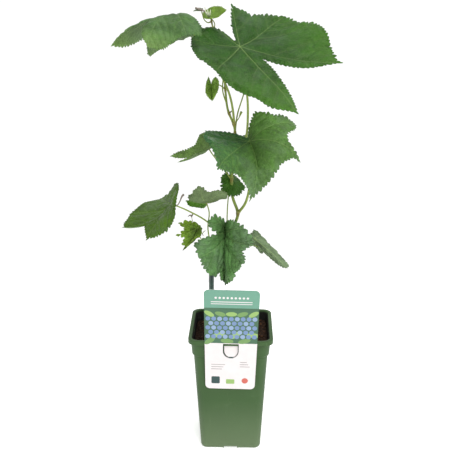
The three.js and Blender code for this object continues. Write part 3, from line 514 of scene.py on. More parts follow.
def smooth_path(points, count):
    """count + 1 evenly spaced points along a centripetal Catmull-Rom curve."""
    p = [np.array(q, float) for q in points]
    p = [2 * p[0] - p[1]] + p + [2 * p[-1] - p[-2]]
    dense = []
    for a, b, c, d in zip(p, p[1:], p[2:], p[3:]):
        before, own, after = (math.sqrt(np.linalg.norm(v)) for v in (b - a, c - b, d - c))
        start = ((b - a) / before - (c - a) / (before + own) + (c - b) / own) * own
        end = ((c - b) / own - (d - b) / (own + after) + (d - c) / after) * own
        for s in np.linspace(0, 1, 40, endpoint=False):
            dense.append(b * (2 * s**3 - 3 * s**2 + 1) + start * (s**3 - 2 * s**2 + s)
                         + c * (3 * s**2 - 2 * s**3) + end * (s**3 - s**2))
    dense = np.array(dense + [p[-2]])
    along = np.concatenate([[0], np.cumsum(np.linalg.norm(np.diff(dense, axis=0), axis=1))])
    wanted = np.linspace(0, along[-1], count + 1)
    return np.stack([np.interp(wanted, along, dense[:, k]) for k in range(3)], 1), along[-1]


def unit_rows(rows):
    return rows / np.linalg.norm(rows, axis=1)[:, None]


def strips(rings, count):
    """Faces between closed rings of count vertices each."""
    faces = []
    for ring in range(rings - 1):
        for i in range(count):
            a, b = ring * count + i, ring * count + (i + 1) % count
            faces.append((a, b, b + count, a + count))
    return faces


def tube(path, radius, sides):
    """A closed tube; radius(i, angle) in millimetres. Returns vertices, faces and (share along, round)."""
    tangents = unit_rows(np.gradient(path, axis=0))
    across = np.cross(tangents[0], (0.3, 0.9, 0.1))
    verts, where = [], []
    for i, (point, tangent) in enumerate(zip(path, tangents)):
        across = across - tangent * across.dot(tangent)
        across /= np.linalg.norm(across)
        other = np.cross(tangent, across)
        for k in range(sides):
            angle = 2 * math.pi * k / sides
            verts.append(point + radius(i, angle) * (across * math.cos(angle) + other * math.sin(angle)))
            where.append((i / (len(path) - 1), k / sides))
    faces = strips(len(path), sides)
    ends = len(verts)
    verts += [path[0] - 0.3 * radius(0, 0) * tangents[0],
              path[-1] + 0.5 * radius(len(path) - 1, 0) * tangents[-1]]
    where += [(0, 0.5), (1, 0.5)]
    last = (len(path) - 1) * sides
    for k in range(sides):
        n = (k + 1) % sides
        faces += [(ends, n, k), (ends + 1, last + k, last + n)]
    return np.array(verts), faces, np.array(where)


class Bundle:
    """Vertices, faces and values gathered for one piece."""

    def __init__(self, *keys):
        self.verts, self.faces, self.mats, self.count = [], [], [], 0
        self.values = {key: [] for key in keys}

    def add(self, verts, faces, mat=0, **values):
        self.faces += [tuple(int(i) + self.count for i in f) for f in faces]
        self.mats += [mat] * len(faces) if isinstance(mat, int) else list(mat)
        self.verts.append(np.asarray(verts, float))
        self.count += len(verts)
        for key in self.values:
            given = values.get(key, 0)
            self.values[key].append(np.broadcast_to(np.asarray(given, float), (len(verts),)))

    def piece(self, name, materials, slot, **more):
        values = {key: np.concatenate(v) for key, v in self.values.items()}
        return piece(name, np.concatenate(self.verts), self.faces, materials, slot,
                     face_material=self.mats, values=values, **more)


def nearest(points, others):
    """Distance from each point to the nearest of the others, in the plane, and which one that is."""
    tree = kdtree.KDTree(len(others))
    for i, p in enumerate(others):
        tree.insert((p[0], p[1], 0), i)
    tree.balance()
    found = [tree.find((p[0], p[1], 0)) for p in points]
    return np.array([f[2] for f in found]), np.array([f[1] for f in found])


def boundary(triangles):
    """Directed edges that only one triangle has."""
    edges = {}
    for a, b, c in triangles:
        for e in ((a, b), (b, c), (c, a)):
            edges[e] = True
    return [e for e in edges if (e[1], e[0]) not in edges]


# ------------------------------------------------------------------ leaves

# places in a leaf's list of materials
UPPER, UNDER, STEM = range(3)


def reach(theta, one):
    """Reach of one leaf in each direction off the midrib, as a share of its length."""
    theta = np.asarray(theta, float)
    out = np.zeros_like(theta)
    for side, sign in ((one["right"], 1), (one["left"], -1)):
        knots = [(0, 1)]
        for i in range(3):
            cut = NOTCH_UNCUT[i] + (NOTCH_CUT[i] - NOTCH_UNCUT[i]) * side["cuts"][i]
            knots.append((NOTCH_ANGLE[i] * side["spread"], cut))
            knots.append((LOBE_ANGLE[i] * side["spread"], side["lobes"][i]))
        knots.append((SINUS_ANGLE, SINUS_REACH))
        t = np.clip(np.abs(theta), 0, SINUS_ANGLE)
        r = np.full_like(t, SINUS_REACH)
        for i in range(len(knots) - 1, 0, -1):
            (a0, r0), (a1, r1) = knots[i - 1], knots[i]
            share = np.clip((t - a0) / (a1 - a0), 0, 1)
            from_tip = (i - 1) % 2 == 0
            u = share if from_tip else 1 - share
            tip, low = (r0, r1) if from_tip else (r1, r0)
            full = one["fullness"]
            curve = low + (tip - low) * ((1 - full) * (1 - u) ** 1.5 + full * (1 - u * u))
            r = np.where(t <= a1, curve, r) if i < len(knots) - 1 else np.where(t > a0, curve, r)
        out = np.where((theta >= 0) if sign > 0 else (theta < 0), r, out)
    for angle, wide, share in one["bulges"]:
        out = out * (1 + share * np.exp(-((theta - angle) / wide) ** 2))
    return out


def flat(one, theta, r):
    a = np.radians(theta)
    return np.stack([r * np.sin(a) * one["width"], r * np.cos(a)], -1)


def polar(one, p):
    x, y = p[..., 0] / one["width"], p[..., 1]
    return np.degrees(np.arctan2(x, y)), np.hypot(x, y)


def toothed_outline(one, rng):
    """The leaf's margin with unequal teeth that lean toward the tips of the lobes."""
    L = one["length"]
    theta = np.linspace(-SINUS_ANGLE, SINUS_ANGLE, 2881)
    r = reach(theta, one) * L
    p = flat(one, theta, r)
    along = np.concatenate([[0], np.cumsum(np.linalg.norm(np.diff(p, axis=0), axis=1))])
    total = along[-1]
    count = max(12, round(total / one["tooth"]))
    marks = (np.arange(count + 1) + np.concatenate([[0], rng.uniform(-0.3, 0.3, count - 1), [0]])) / count
    marks *= total
    ds = np.gradient(along)
    tangent = np.gradient(p, axis=0) / ds[:, None]
    smooth = np.ones(41) / 41
    tangent = np.stack([np.convolve(np.pad(tangent[:, k], 20, "edge"), smooth, "valid") for k in (0, 1)], 1)
    tangent = unit_rows(tangent)
    growing = np.gradient(r) >= 0
    tips = [0] + [a * one[side]["spread"] * sign for side, sign in (("right", 1), ("left", -1))
                  for a in LOBE_ANGLE]
    tip_marks = np.interp(sorted(tips), theta, along)
    out = []
    for k in range(count):
        a, b = marks[k], marks[k + 1]
        size = one["height"] * (b - a) * (0.4 + 0.95 * rng.random()) * (1.5 if k % 3 == 1 else 1)
        forward = np.interp((a + b) / 2, along, growing.astype(float)) > 0.5
        for phase in (0, 0.2, 0.4, 0.6, 0.75, 0.9):
            s = a + (b - a) * phase
            way = phase if forward else 1 - phase
            lift = (way / 0.7) ** 0.6 if way < 0.7 else ((1 - way) / 0.3) ** 0.8
            q = np.array([np.interp(s, along, p[:, 0]), np.interp(s, along, p[:, 1])])
            t = np.array([np.interp(s, along, tangent[:, 0]), np.interp(s, along, tangent[:, 1])])
            fade = np.clip((np.linalg.norm(q) / L - 0.12) / 0.2, 0, 1)
            q = q + np.array([-t[1], t[0]]) * size * (lift - 0.55) * fade
            spike = np.exp(-np.abs(s - tip_marks).min() / (0.014 * L))
            q = q * (1 + 0.03 * spike)
            out.append(q)
    out.append(p[-1])
    return np.array(out)[::-1]


def vein_lines(one, step, rng):
    """Main and side veins: (points, half width at the foot and end, strength, share left at the end)."""
    L = one["length"]
    lines = []
    mains = [(0, -NOTCH_ANGLE[0] * one["left"]["spread"], NOTCH_ANGLE[0] * one["right"]["spread"], 0.2)]
    for side, sign in ((one["right"], 1), (one["left"], -1)):
        for i in range(3):
            low = NOTCH_ANGLE[i] * side["spread"]
            high = NOTCH_ANGLE[i + 1] * side["spread"] if i < 2 else SINUS_ANGLE
            mains.append((LOBE_ANGLE[i] * side["spread"] * sign, *sorted((low * sign, high * sign)), 0.3))
    for number, (angle, low, high, bare) in enumerate(mains):
        length = 0.965 * float(reach(np.array([angle]), one)[0]) * L
        t = np.linspace(0, 1, max(6, int(length / step)))
        sway = 3.2 * math.sin(number * 2.4 + L) * np.sin(math.pi * t) * t
        main = flat(one, angle + sway, t * length)
        thick = 0.0036 * L * (1 if number in (0, 1, 4) else 0.8)
        lines.append((main, thick + 0.1, 0.3 * thick + 0.05, 1, 0.45))
        where = bare * L * 0.8
        turn = 1
        while where < length * 0.93:
            t0 = where / length
            k = min(len(main) - 2, int(t0 * (len(main) - 1)))
            direction = main[k + 1] - main[k]
            heading = math.degrees(math.atan2(direction[0], direction[1]))
            bearing = heading + turn * (50 - 8 * t0)
            point = main[k].copy()
            trail = [point.copy()]
            while len(trail) * step < 0.62 * L:
                bearing -= turn * 13 * step / (0.3 * L)
                a = math.radians(bearing)
                point = point + step * np.array([math.sin(a), math.cos(a)])
                th, r = polar(one, point)
                limit = 0.955 * float(reach(np.array([th]), one)[0]) * L
                if r > limit or not low + 1 < th < high - 1:
                    break
                trail.append(point.copy())
            if len(trail) > 4:
                thin = 0.0022 * L * (1 - 0.3 * t0) + 0.06
                lines.append((np.array(trail), thin, 0.04, rng.uniform(0.16, 0.5), 0.1))
            turn = -turn
            where += L * rng.uniform(0.055, 0.13) * (1 - 0.25 * t0)
    return lines


def bend(one, x, y):
    """Flat points of the leaf carried to their place: lift, curl, arch, twist and pose."""
    L = one["length"]
    soft = FOLD_SOFTNESS * L
    blend = 0.5 + 0.5 * np.tanh(x / soft)
    right, left = one["right"], one["left"]
    arch, back, turning = one["bow"]
    curl = np.radians(left["curl"] + (right["curl"] - left["curl"]) * blend) / (HALF_WIDTH * L) + 1e-9
    lift = np.radians(left["lift"] + (right["lift"] - left["lift"]) * blend)
    across = np.sin(curl * x) / curl
    drop = -(1 - np.cos(curl * x)) / curl
    side = x / np.hypot(x, soft)
    X = across * np.cos(lift) - side * drop * np.sin(lift)
    Z = (np.hypot(across, soft) - soft) * np.sin(lift) + drop * np.cos(lift)
    bow = np.radians(np.where(y >= 0, arch, back)) / L + 1e-9
    phi = bow * y
    Y2 = np.sin(phi) / bow + Z * np.sin(phi)
    Z2 = -(1 - np.cos(phi)) / bow + Z * np.cos(phi)
    twist = math.radians(turning) * y / L
    X3 = X * np.cos(twist) + Z2 * np.sin(twist)
    Z3 = -X * np.sin(twist) + Z2 * np.cos(twist)
    h, p, roll = (math.radians(v) for v in one["pose"])
    ahead = np.array([math.cos(p) * math.cos(h), math.cos(p) * math.sin(h), math.sin(p)])
    level = np.array([math.sin(h), -math.cos(h), 0])
    upright = np.cross(level, ahead)
    sideways = level * math.cos(roll) - upright * math.sin(roll)
    up = upright * math.cos(roll) + level * math.sin(roll)
    return np.array(one["at"]) + X3[:, None] * sideways + Y2[:, None] * ahead + Z3[:, None] * up


def blade_normals(one, x, y):
    step = 0.01 * one["length"]
    dx = bend(one, x + step, y) - bend(one, x - step, y)
    dy = bend(one, x, y + step) - bend(one, x, y - step)
    return unit_rows(np.cross(dx, dy))


def between_veins(one, theta):
    """0 over each main vein, 1 half way between two of them."""
    out = np.zeros_like(theta)
    for side, chosen in ((one["right"], theta >= 0), (one["left"], theta < 0)):
        veins = np.array([0] + [a * side["spread"] for a in LOBE_ANGLE] + [SINUS_ANGLE])
        t = np.abs(theta)
        slot = np.clip(np.searchsorted(veins, t, "right") - 1, 0, len(veins) - 2)
        share = np.clip((t - veins[slot]) / (veins[slot + 1] - veins[slot]), 0, 1)
        out = np.where(chosen, np.sin(math.pi * share) ** 0.8, out)
    return out


def filling(one, edge, veins, grain):
    """An even grid of points inside the margin, clear of it and of the veins."""
    row = grain * 0.866
    low, high = edge.min(0), edge.max(0)
    rows = int((high[1] - low[1]) / row) + 1
    columns = int((high[0] - low[0]) / grain) + 1
    grid = np.array([(low[0] + grain * (i + 0.5 * (j % 2)), low[1] + row * j)
                     for j in range(rows) for i in range(columns)])
    th, r = polar(one, grid)
    grid = grid[(r < reach(th, one) * one["length"] - 0.2) & (np.abs(th) < SINUS_ANGLE - 2)]
    grid = grid[nearest(grid, edge)[0] > 0.55 * grain]
    return grid[nearest(grid, veins)[0] > 0.75 * grain]


def blade_points(one, edge, lines, grain):
    """Points of the flat blade, the ties that its faces keep, and each vein with its width and strength."""
    points = [tuple(p) for p in edge]
    ties = [(i, (i + 1) % len(edge)) for i in range(len(edge))]
    veins = []
    for line, wide, narrow, strong, left_over in lines:
        direction = np.gradient(line, axis=0)
        direction /= np.linalg.norm(direction, axis=1)[:, None] + 1e-9
        shoulder = np.stack([direction[:, 1], -direction[:, 0]], 1)
        width = np.linspace(wide, narrow, len(line))[:, None] * 1.25 + 0.1
        first = len(points)
        points += [tuple(p) for p in line]
        ties += [(first + i, first + i + 1) for i in range(len(line) - 1)]
        veins.append((line, width, strong * np.linspace(1, left_over, len(line))))
        for sign in (1, -1):
            points += [tuple(p) for p in (line + sign * width * shoulder)[1:]]
    points += [tuple(p) for p in filling(one, edge, np.concatenate([v[0] for v in veins]), grain)]
    # points that fall outside the margin are dropped
    th, r = polar(one, np.array(points))
    inside = (r < reach(th, one) * one["length"] * 0.995 + 0.01) & (np.abs(th) < SINUS_ANGLE)
    order = {i: i for i in range(len(edge))}
    chosen = points[:len(edge)]
    for i in range(len(edge), len(points)):
        if inside[i]:
            order[i] = len(chosen)
            chosen.append(points[i])
    return chosen, [(order[a], order[b]) for a, b in ties if a in order and b in order], veins


def blade_faces(chosen, ties, margin):
    """Triangles of the flat blade, all turned the same way; the first points are its margin."""
    found = delaunay_2d_cdt([Vector(p) for p in chosen], ties, [list(range(margin))], 1, 1e-4)
    spots = np.array([(v.x, v.y) for v in found[0]])
    triangles = [tuple(f) for f in found[2] if len(f) == 3]
    used = sorted({i for f in triangles for i in f})
    renumber = {i: k for k, i in enumerate(used)}
    spots = spots[used]
    facing = []
    for a, b, c in (tuple(renumber[i] for i in f) for f in triangles):
        area = np.cross(spots[b] - spots[a], spots[c] - spots[a])
        facing.append((a, b, c) if area > 0 else (a, c, b))
    return spots, facing


def blade_relief(one, number, spots, edge, veins):
    """Height and vein ridge at each point, and the values that the materials read."""
    L = one["length"]
    vein = np.zeros(len(spots))
    away = np.full(len(spots), 1e9)
    ridge = np.zeros(len(spots))
    for line, width, strength in veins:
        gap, place = nearest(spots, line)
        spread = float(width.mean())
        vein = np.maximum(vein, strength[place] * np.clip(1 - gap / (spread * 0.95), 0, 1))
        ridge = np.maximum(ridge, np.clip(1 - gap / (spread * 1.2), 0, 1) * spread)
        away = np.minimum(away, gap)
    rim = nearest(spots, edge)[0]
    th, r = polar(one, spots)
    second = np.zeros(len(spots))
    if one["second"]:
        _, by, start, full = one["second"]
        second = np.clip(((r / L if by == "out" else th) - start) / (full - start), 0, 1)
    puff = 1 - np.exp(-(away / (0.03 * L)) ** 2)
    calm = np.clip(rim / (0.04 * L), 0, 1) * np.clip(r / (0.1 * L), 0, 1)
    height = one["quilt"] * L * puff * calm
    height += one["wave"] * L * (r / L) ** 2 * np.sin(np.radians(th) * 7 + number) * 1.2
    height += one["pleat"] * L * (r / L) * between_veins(one, th) * np.clip(rim / (0.03 * L), 0.3, 1)
    height += 0.0035 * L * np.array([noise.noise(Vector((p[0] * 6 / L, p[1] * 6 / L, number * 3.7)))
                                     for p in spots])
    # the crease along the midrib, which the upper side darkens as painted shade
    fold = np.exp(-np.abs(spots[:, 0]) / (0.05 * L)) * (spots[:, 1] > 0)
    return height, ridge, dict(vein=vein, puff=puff, second=second, rim=np.exp(-rim / (0.06 * L)), fold=fold)


def leaf_stalk(one, end):
    """Stalk from inside the shoot to the end point: vertices, faces, place along and round, and run."""
    points = one["stalk"] + [tuple(end)]
    steps = max(14, int(sum(np.linalg.norm(np.diff(np.array(points), axis=0), axis=1)) / 1.6))
    path, run = smooth_path(points, steps)
    foot, tip = one["radii"]

    def radius(i, angle):
        t = i / steps
        base_swell = 0.35 * math.exp(-((t * run) / 4) ** 2)
        end_swell = 0.3 * math.exp(-(((1 - t) * run) / 2.5) ** 2)
        groove = 1 - 0.07 * max(0, math.cos(angle)) ** 6 + 0.025 * math.cos(5 * angle)
        close = 1 - 0.5 * math.exp(-(((1 - t) * run) / 0.8) ** 2)
        return (foot + (tip - foot) * t) * (1 + base_swell + end_swell) * groove * close

    return (*tube(path, radius, 12), run)


def bake_layout(spots, where, faces, sides):
    """An even layout for baking: upper side, under side and stalk, one pair for each face's corner."""
    n = len(spots)
    span = spots.max(0) - spots.min(0)
    place = (spots - spots.min(0)) * min(0.47 / span[0], 0.85 / span[1])
    plan = np.zeros((2 * n + len(where), 2))
    plan[:n] = place + (0.01, 0.12)
    plan[n:2 * n] = place + (0.51, 0.12)
    plan[2 * n:, 0] = 0.01 + 0.97 * where[:, 0]
    plan[2 * n:, 1] = 0.01 + 0.08 * where[:, 1]
    uv = []
    for f, part in zip(faces, sides):
        if len(f) == 4 and part == UPPER:
            # a face of the rim gets a narrow band beside its edge
            a, b = plan[f[0]], plan[f[3]]
            out = np.array([b[1] - a[1], a[0] - b[0]])
            out = out / (np.linalg.norm(out) + 1e-9) * 0.002
            uv += [a, a + out, b + out, b]
            continue
        corners = [plan[i].copy() for i in f]
        if part == STEM and max(c[1] for c in corners) - min(c[1] for c in corners) > 0.05:
            # a face across the seam of the stalk
            for c in corners:
                if c[1] < 0.03:
                    c[1] += 0.08
        uv += corners
    return uv


def leaf_materials(one):
    """Materials of the upper side, the under side and the stalk."""
    pale = albedo("b4c884")
    base = albedo(one["colour"])
    vein = mixed(scaled(base, 1.6), pale, 0.4)
    sheen = {"leaf_bluish": 0.36, "leaf_young": 0.42}.get(one["slot"], 0.44)
    top = blade_upper(one, base, vein, sheen)
    bottom = blade_under(one, mixed(base, albedo("8b9f7d"), 0.6), mixed(vein, pale, 0.3))
    return [bottom, top, STALK] if one["turned"] else [top, bottom, STALK]


def build_leaf(one, number):
    rng = np.random.default_rng(700 + number)
    L = one["length"]
    grain = min(1.6, max(0.35, L / 62))
    edge = toothed_outline(one, rng)
    lines = vein_lines(one, grain * 0.8, rng)
    chosen, ties, veins = blade_points(one, edge, lines, grain)
    spots, triangles = blade_faces(chosen, ties, len(edge))
    height, ridge, values = blade_relief(one, number, spots, edge, veins)

    thick = min(0.5, 0.012 * L + 0.1)
    base = bend(one, spots[:, 0], spots[:, 1])
    normals = blade_normals(one, spots[:, 0], spots[:, 1])
    sink, stand = (0.25, 0.9) if not one["turned"] else (-0.8, -0.2)
    upper = base + normals * (height + thick / 2 - sink * ridge)[:, None]
    under = base + normals * (height - thick / 2 - stand * ridge)[:, None]
    n = len(spots)
    rims = boundary(triangles)
    faces = triangles + [(n + a, n + c, n + b) for a, b, c in triangles]
    faces += [(a, n + a, n + b, b) for a, b in rims]
    sides = [UPPER] * len(triangles) + [UNDER] * len(triangles) + [UPPER] * len(rims)

    joint = np.zeros(1)
    end = bend(one, joint, joint)[0] - 0.25 * thick * blade_normals(one, joint, joint)[0]
    stalk, stalk_faces, where, run = leaf_stalk(one, end)
    faces += [tuple(2 * n + i for i in f) for f in stalk_faces]
    sides += [STEM] * len(stalk_faces)
    near_ends = np.exp(-(where[:, 0] * run / 5) ** 2) + 0.7 * np.exp(-((1 - where[:, 0]) * run / 4) ** 2)
    values = {key: np.concatenate([v, v, np.zeros(len(stalk))]) for key, v in values.items()}
    values["node"] = np.concatenate([np.zeros(2 * n), np.clip(near_ends, 0, 1)])
    return piece(one["name"] + "_fine", np.concatenate([upper, under, stalk]), faces, leaf_materials(one),
                 one["slot"], replaces=[one["name"]], face_material=sides, values=values,
                 uv=bake_layout(spots, where, faces, sides))


# ------------------------------------------------------------------ shoot, old wood and small growths

def build_shoot():
    steps = 300
    path, run = smooth_path(SHOOT_PATH, steps)
    joints = sorted({int(np.argmin(np.linalg.norm(path - np.array(one["stalk"][0]), axis=1)))
                     for one in LEAVES})
    mm_per_step = run / steps

    def radius(i, angle):
        t = i / steps
        swell = sum(math.exp(-((i - j) * mm_per_step / 2.6) ** 2) for j in joints)
        ribs = 1 + 0.03 * math.cos(9 * angle) + 0.015 * math.cos(4 * angle + i * 0.05)
        return (SHOOT_FOOT + (SHOOT_TIP - SHOOT_FOOT) * t) * ribs * (1 + 0.32 * min(1.1, swell))

    verts, faces, where = tube(path, radius, 20)
    steps_at = where[:, 0] * steps
    node = np.clip(sum(np.exp(-((steps_at - j) * mm_per_step / 3.2) ** 2) for j in joints), 0, 1)
    low = np.clip(1 - where[:, 0] * 5, 0, 1)
    bundle = Bundle("node")
    bundle.add(verts, faces, 0, node=np.clip(node + 0.7 * low, 0, 1))
    # a bud in the angle of each joint
    for number, j in enumerate(joints):
        out = Vector((math.cos(number * 2.4 + 0.5), math.sin(number * 2.4 + 0.5), 0.9)).normalized()
        size = 0.8 + 1.1 * (1 - j / steps)
        start = Vector(path[j]) + out * (1.2 + 0.8 * (1 - j / steps))
        bud_path = np.array([start + out * (size * 0.55 * k) for k in range(7)])
        fat = [0.55, 0.95, 1.05, 0.95, 0.75, 0.45, 0.16]
        bud = tube(bud_path, lambda i, a: fat[i] * size * 0.8 * (1 + 0.05 * math.cos(3 * a)), 10)
        bundle.add(bud[0], bud[1], 0, node=0.35 + 0.5 * bud[2][:, 0])
    return bundle.piece("main_shoot_fine", [SHOOT], "green_shoot", replaces=["main_shoot"])


def build_small_growths():
    """Bracts, tendrils, a bud and unfolding shoot ends: short tapered tubes, a little flattened."""
    bundle = Bundle("node")
    for finish, widths, points in SMALL_GROWTHS:
        path, _ = smooth_path(points, 16)

        def radius(i, angle):
            return float(np.interp(i, (0, 8, 16), widths)) * (1 + 0.3 * math.cos(2 * angle))

        verts, faces, _ = tube(path, radius, 8)
        bundle.add(verts, faces, finish, node=np.full(len(verts), 0.2))
    return bundle.piece("small_growths", [SHOOT, DRY, PALE], "green_shoot")


def wax_foot(angle):
    """Height above the cut at which the wax ends, in runs near the soil."""
    around = Vector((math.cos(angle), math.sin(angle), 0))
    return 14 + 5 * noise.noise(around * 1.7 + Vector((3, 9, 1)))


def build_wood():
    steps, sides = 150, 32
    foot, top = np.array(WOOD_FOOT), np.array(WOOD_TOP)
    path = np.array([foot + (top - foot) * i / steps for i in range(steps + 1)])

    def radius(i, angle):
        t = i / steps
        z = t * WOOD_SCALE
        flare = (WOOD_FLARE - WOOD_RADIUS) * (1 - min(1, t / 0.25)) ** 2
        crown = -1.2 * ((t - 0.96) / 0.04) ** 2 if t > 0.96 else 0
        around = Vector((math.cos(angle), math.sin(angle), 0))
        bark = 0.16 * noise.noise(around * 2.2 + Vector((0, 0, z * 0.05)))
        fibres = 0.1 * noise.noise(around * 5 + Vector((7, 3, z * 0.02)))
        ring = sum(high * math.exp(-((z - at) / wide) ** 2) for at, wide, high in WOOD_RINGS)
        runs = wax_foot(angle)
        wax = 0.16 / (1 + math.exp(-(z - runs) / 0.5))
        drip = 0.12 * math.exp(-((z - runs - 1) / 1.2) ** 2)
        return WOOD_RADIUS + flare + crown - 0.3 + bark + fibres + ring + wax + drip

    verts, faces, where = tube(path, radius, sides)
    z = where[:, 0] * WOOD_SCALE
    runs = np.array([wax_foot(a) for a in where[:, 1] * 2 * math.pi])
    bare = 1 / (1 + np.exp((z - runs) / 0.5))
    ring = sum(np.exp(-((z - at) / wide) ** 2) for at, wide, _ in WOOD_RINGS)
    bundle = Bundle("node")
    bundle.add(verts, faces, 0, node=np.clip(bare + 0.5 * ring, 0, 1))
    return bundle.piece("old_wood_fine", [WAX], "waxed_wood", replaces=["trunk_old_wood"])


# ------------------------------------------------------------------ pot and soil

def square_ring(half_width, radius, z, per_corner):
    points = []
    span = half_width - radius
    for corner in range(4):
        middle = math.radians(45 + 90 * corner)
        cx, cy = math.copysign(span, math.cos(middle)), math.copysign(span, math.sin(middle))
        for i in range(per_corner + 1):
            a = math.radians(90 * corner + 90 * i / per_corner)
            points.append((cx + radius * math.cos(a), cy + radius * math.sin(a), z))
    return points


def loft(profile, per_corner):
    verts = [p for ring in profile for p in square_ring(*ring, per_corner)]
    count = 4 * (per_corner + 1)
    faces = strips(len(profile), count)
    last = (len(profile) - 1) * count
    faces.append(tuple(range(count))[::-1])
    faces.append(tuple(last + i for i in range(count)))
    return verts, faces


def inner_half(z):
    t = (z - FOOT_ROUNDING) / (POT_HEIGHT - COLLAR_DROP - 1 - FOOT_ROUNDING)
    return BASE_HALF + (BODY_TOP_HALF - BASE_HALF) * t - POT_WALL


def rounded(profile, steps):
    """Turns short corners of a profile of (half, radius, z) into small arcs."""
    out = []
    count = len(profile)
    for i, (p, size) in enumerate(profile):
        if size == 0 or i in (0, count - 1):
            out.append(p)
            continue
        p, before, after = (np.array(q, float) for q in (p, profile[i - 1][0], profile[i + 1][0]))
        a = p + (before - p) * min(0.45, size / (np.linalg.norm((before - p)[[0, 2]]) + 1e-9))
        b = p + (after - p) * min(0.45, size / (np.linalg.norm((after - p)[[0, 2]]) + 1e-9))
        for k in range(steps + 1):
            t = k / steps
            out.append(tuple((1 - t) ** 2 * a + 2 * t * (1 - t) * p + t * t * b))
    return out


def turned(x, y, z, degrees):
    """A point turned about the upright axis."""
    c, s = math.cos(math.radians(degrees)), math.sin(math.radians(degrees))
    return x * c - y * s, x * s + y * c, z


def box_object(name, size, middle, turn):
    w, d, h = (v / 2 for v in size)
    verts = []
    for x in (-w, w):
        for y in (-d, d):
            for z in (-h, h):
                verts.append(turned(middle[0] + x, middle[1] + y, middle[2] + z, turn))
    faces = [(0, 1, 3, 2), (4, 6, 7, 5), (0, 4, 5, 1), (2, 3, 7, 6), (0, 2, 6, 4), (1, 5, 7, 3)]
    return placed(name, plain_mesh(name, verts, faces))


def drum_object(name, radius, height, middle, turn, sides=28):
    verts = []
    for z in (-height / 2, height / 2):
        for k in range(sides):
            a = 2 * math.pi * k / sides
            x, y = middle[0] + radius * math.cos(a), middle[1] + radius * math.sin(a)
            verts.append(turned(x, y, middle[2] + z, turn))
    faces = [tuple(range(sides))[::-1], tuple(range(sides, 2 * sides))]
    faces += [(k, (k + 1) % sides, sides + (k + 1) % sides, sides + k) for k in range(sides)]
    return placed(name, plain_mesh(name, verts, faces))


def build_pot():
    collar_foot = POT_HEIGHT - COLLAR_DROP
    skirt_foot = POT_HEIGHT - LIP_DROP
    lower = POT_FLOOR + 1.4
    profile = [
        ((BASE_HALF - 2.6, 6.8, 0), 0),
        ((BASE_HALF - 0.8, 8.3, 0.8), 1.1),
        ((BASE_HALF, 9, FOOT_ROUNDING), 1.6),
        ((BODY_TOP_HALF, 11, collar_foot - 1), 0.6),
        ((COLLAR_FOOT_HALF, 11.1, collar_foot + 0.6), 0.8),
        ((COLLAR_HALF, 11.5, skirt_foot + LIP_DROP - 1.8), 0.4),
        ((LIP_HALF - SKIRT_WALL, 10.8, skirt_foot + LIP_DROP - 1.8), 0.4),
        ((LIP_HALF - SKIRT_WALL, 10.8, skirt_foot), 0.3),
        ((LIP_HALF, 12, skirt_foot), 0.4),
        ((LIP_HALF, 12, POT_HEIGHT - 0.35), 0.7),
        ((LIP_HALF - 0.5, 11.7, POT_HEIGHT), 0.5),
        ((COLLAR_HALF - POT_WALL + 0.5, 10.3, POT_HEIGHT), 0.6),
        ((COLLAR_HALF - POT_WALL, 10, POT_HEIGHT - 0.8), 0.5),
        ((COLLAR_FOOT_HALF - POT_WALL, 9.6, collar_foot + 0.9), 0.6),
        ((BODY_TOP_HALF - POT_WALL, 9.5, collar_foot - 1), 0.6),
        ((inner_half(lower), 7.5, lower), 0.6),
        ((inner_half(lower) - 1.2, 6.5, POT_FLOOR), 0),
    ]
    body = placed("pot_body", plain_mesh("pot_body", *loft(rounded(profile, 3), 10)))
    tools = []
    channel = NOTCH_HEIGHT + POT_FLOOR
    deep = NOTCH_DEPTH + POT_WALL - 0.6
    for side in range(4):
        turn = 90 * side
        tools.append(("UNION", box_object("roof", (deep, NOTCH_WIDTH + 2 * POT_WALL, channel - 0.4),
                                          (BASE_HALF - 0.6 - deep / 2, 0, 0.4 + (channel - 0.4) / 2), turn)))
    for side in range(4):
        turn = 90 * side
        tools.append(("DIFFERENCE", box_object("notch", (NOTCH_DEPTH + 4, NOTCH_WIDTH, NOTCH_HEIGHT + 2),
                                               (BASE_HALF + 4 - (NOTCH_DEPTH + 4) / 2, 0,
                                                (NOTCH_HEIGHT - 2) / 2), turn)))
        tools.append(("DIFFERENCE", drum_object("drain", DRAIN_RADIUS, 10,
                                                (BASE_HALF - NOTCH_DEPTH / 2 - 1, 0, 4), turn)))
        tools.append(("DIFFERENCE", box_object("slot", (8, SLOT_LENGTH, SLOT_HEIGHT),
                                               (COLLAR_HALF - 1, 0, POT_HEIGHT - SLOT_DROP), turn)))
    for kind, tool in tools:
        cut = body.modifiers.new(tool.name, "BOOLEAN")
        cut.operation = kind
        cut.object = tool
        cut.solver = "EXACT"
    ready = body.evaluated_get(bpy.context.evaluated_depsgraph_get())
    mesh = bpy.data.meshes.new_from_object(ready)
    verts = np.array([v.co[:] for v in mesh.vertices]) / MM
    faces = [tuple(p.vertices) for p in mesh.polygons]
    for _, tool in tools:
        bpy.data.objects.remove(tool)
    bpy.data.objects.remove(body)
    bpy.data.meshes.remove(mesh)
    inside = []
    for f in faces:
        corners = verts[list(f)]
        middle = corners.mean(0)
        facing = np.cross(corners[1] - corners[0], corners[2] - corners[1])
        inward = facing[:2].dot(middle[:2]) < -0.3 * np.linalg.norm(facing) * np.linalg.norm(middle[:2])
        inside.append(int(inward and 5 < middle[2] < POT_HEIGHT - 0.5 and np.abs(middle[:2]).max() < 51))
    return piece("pot_moulded", verts, faces, [pot_finish(), dark_inside_finish()], "pot", replaces=["pot"],
                 face_material=inside, sharp=38)


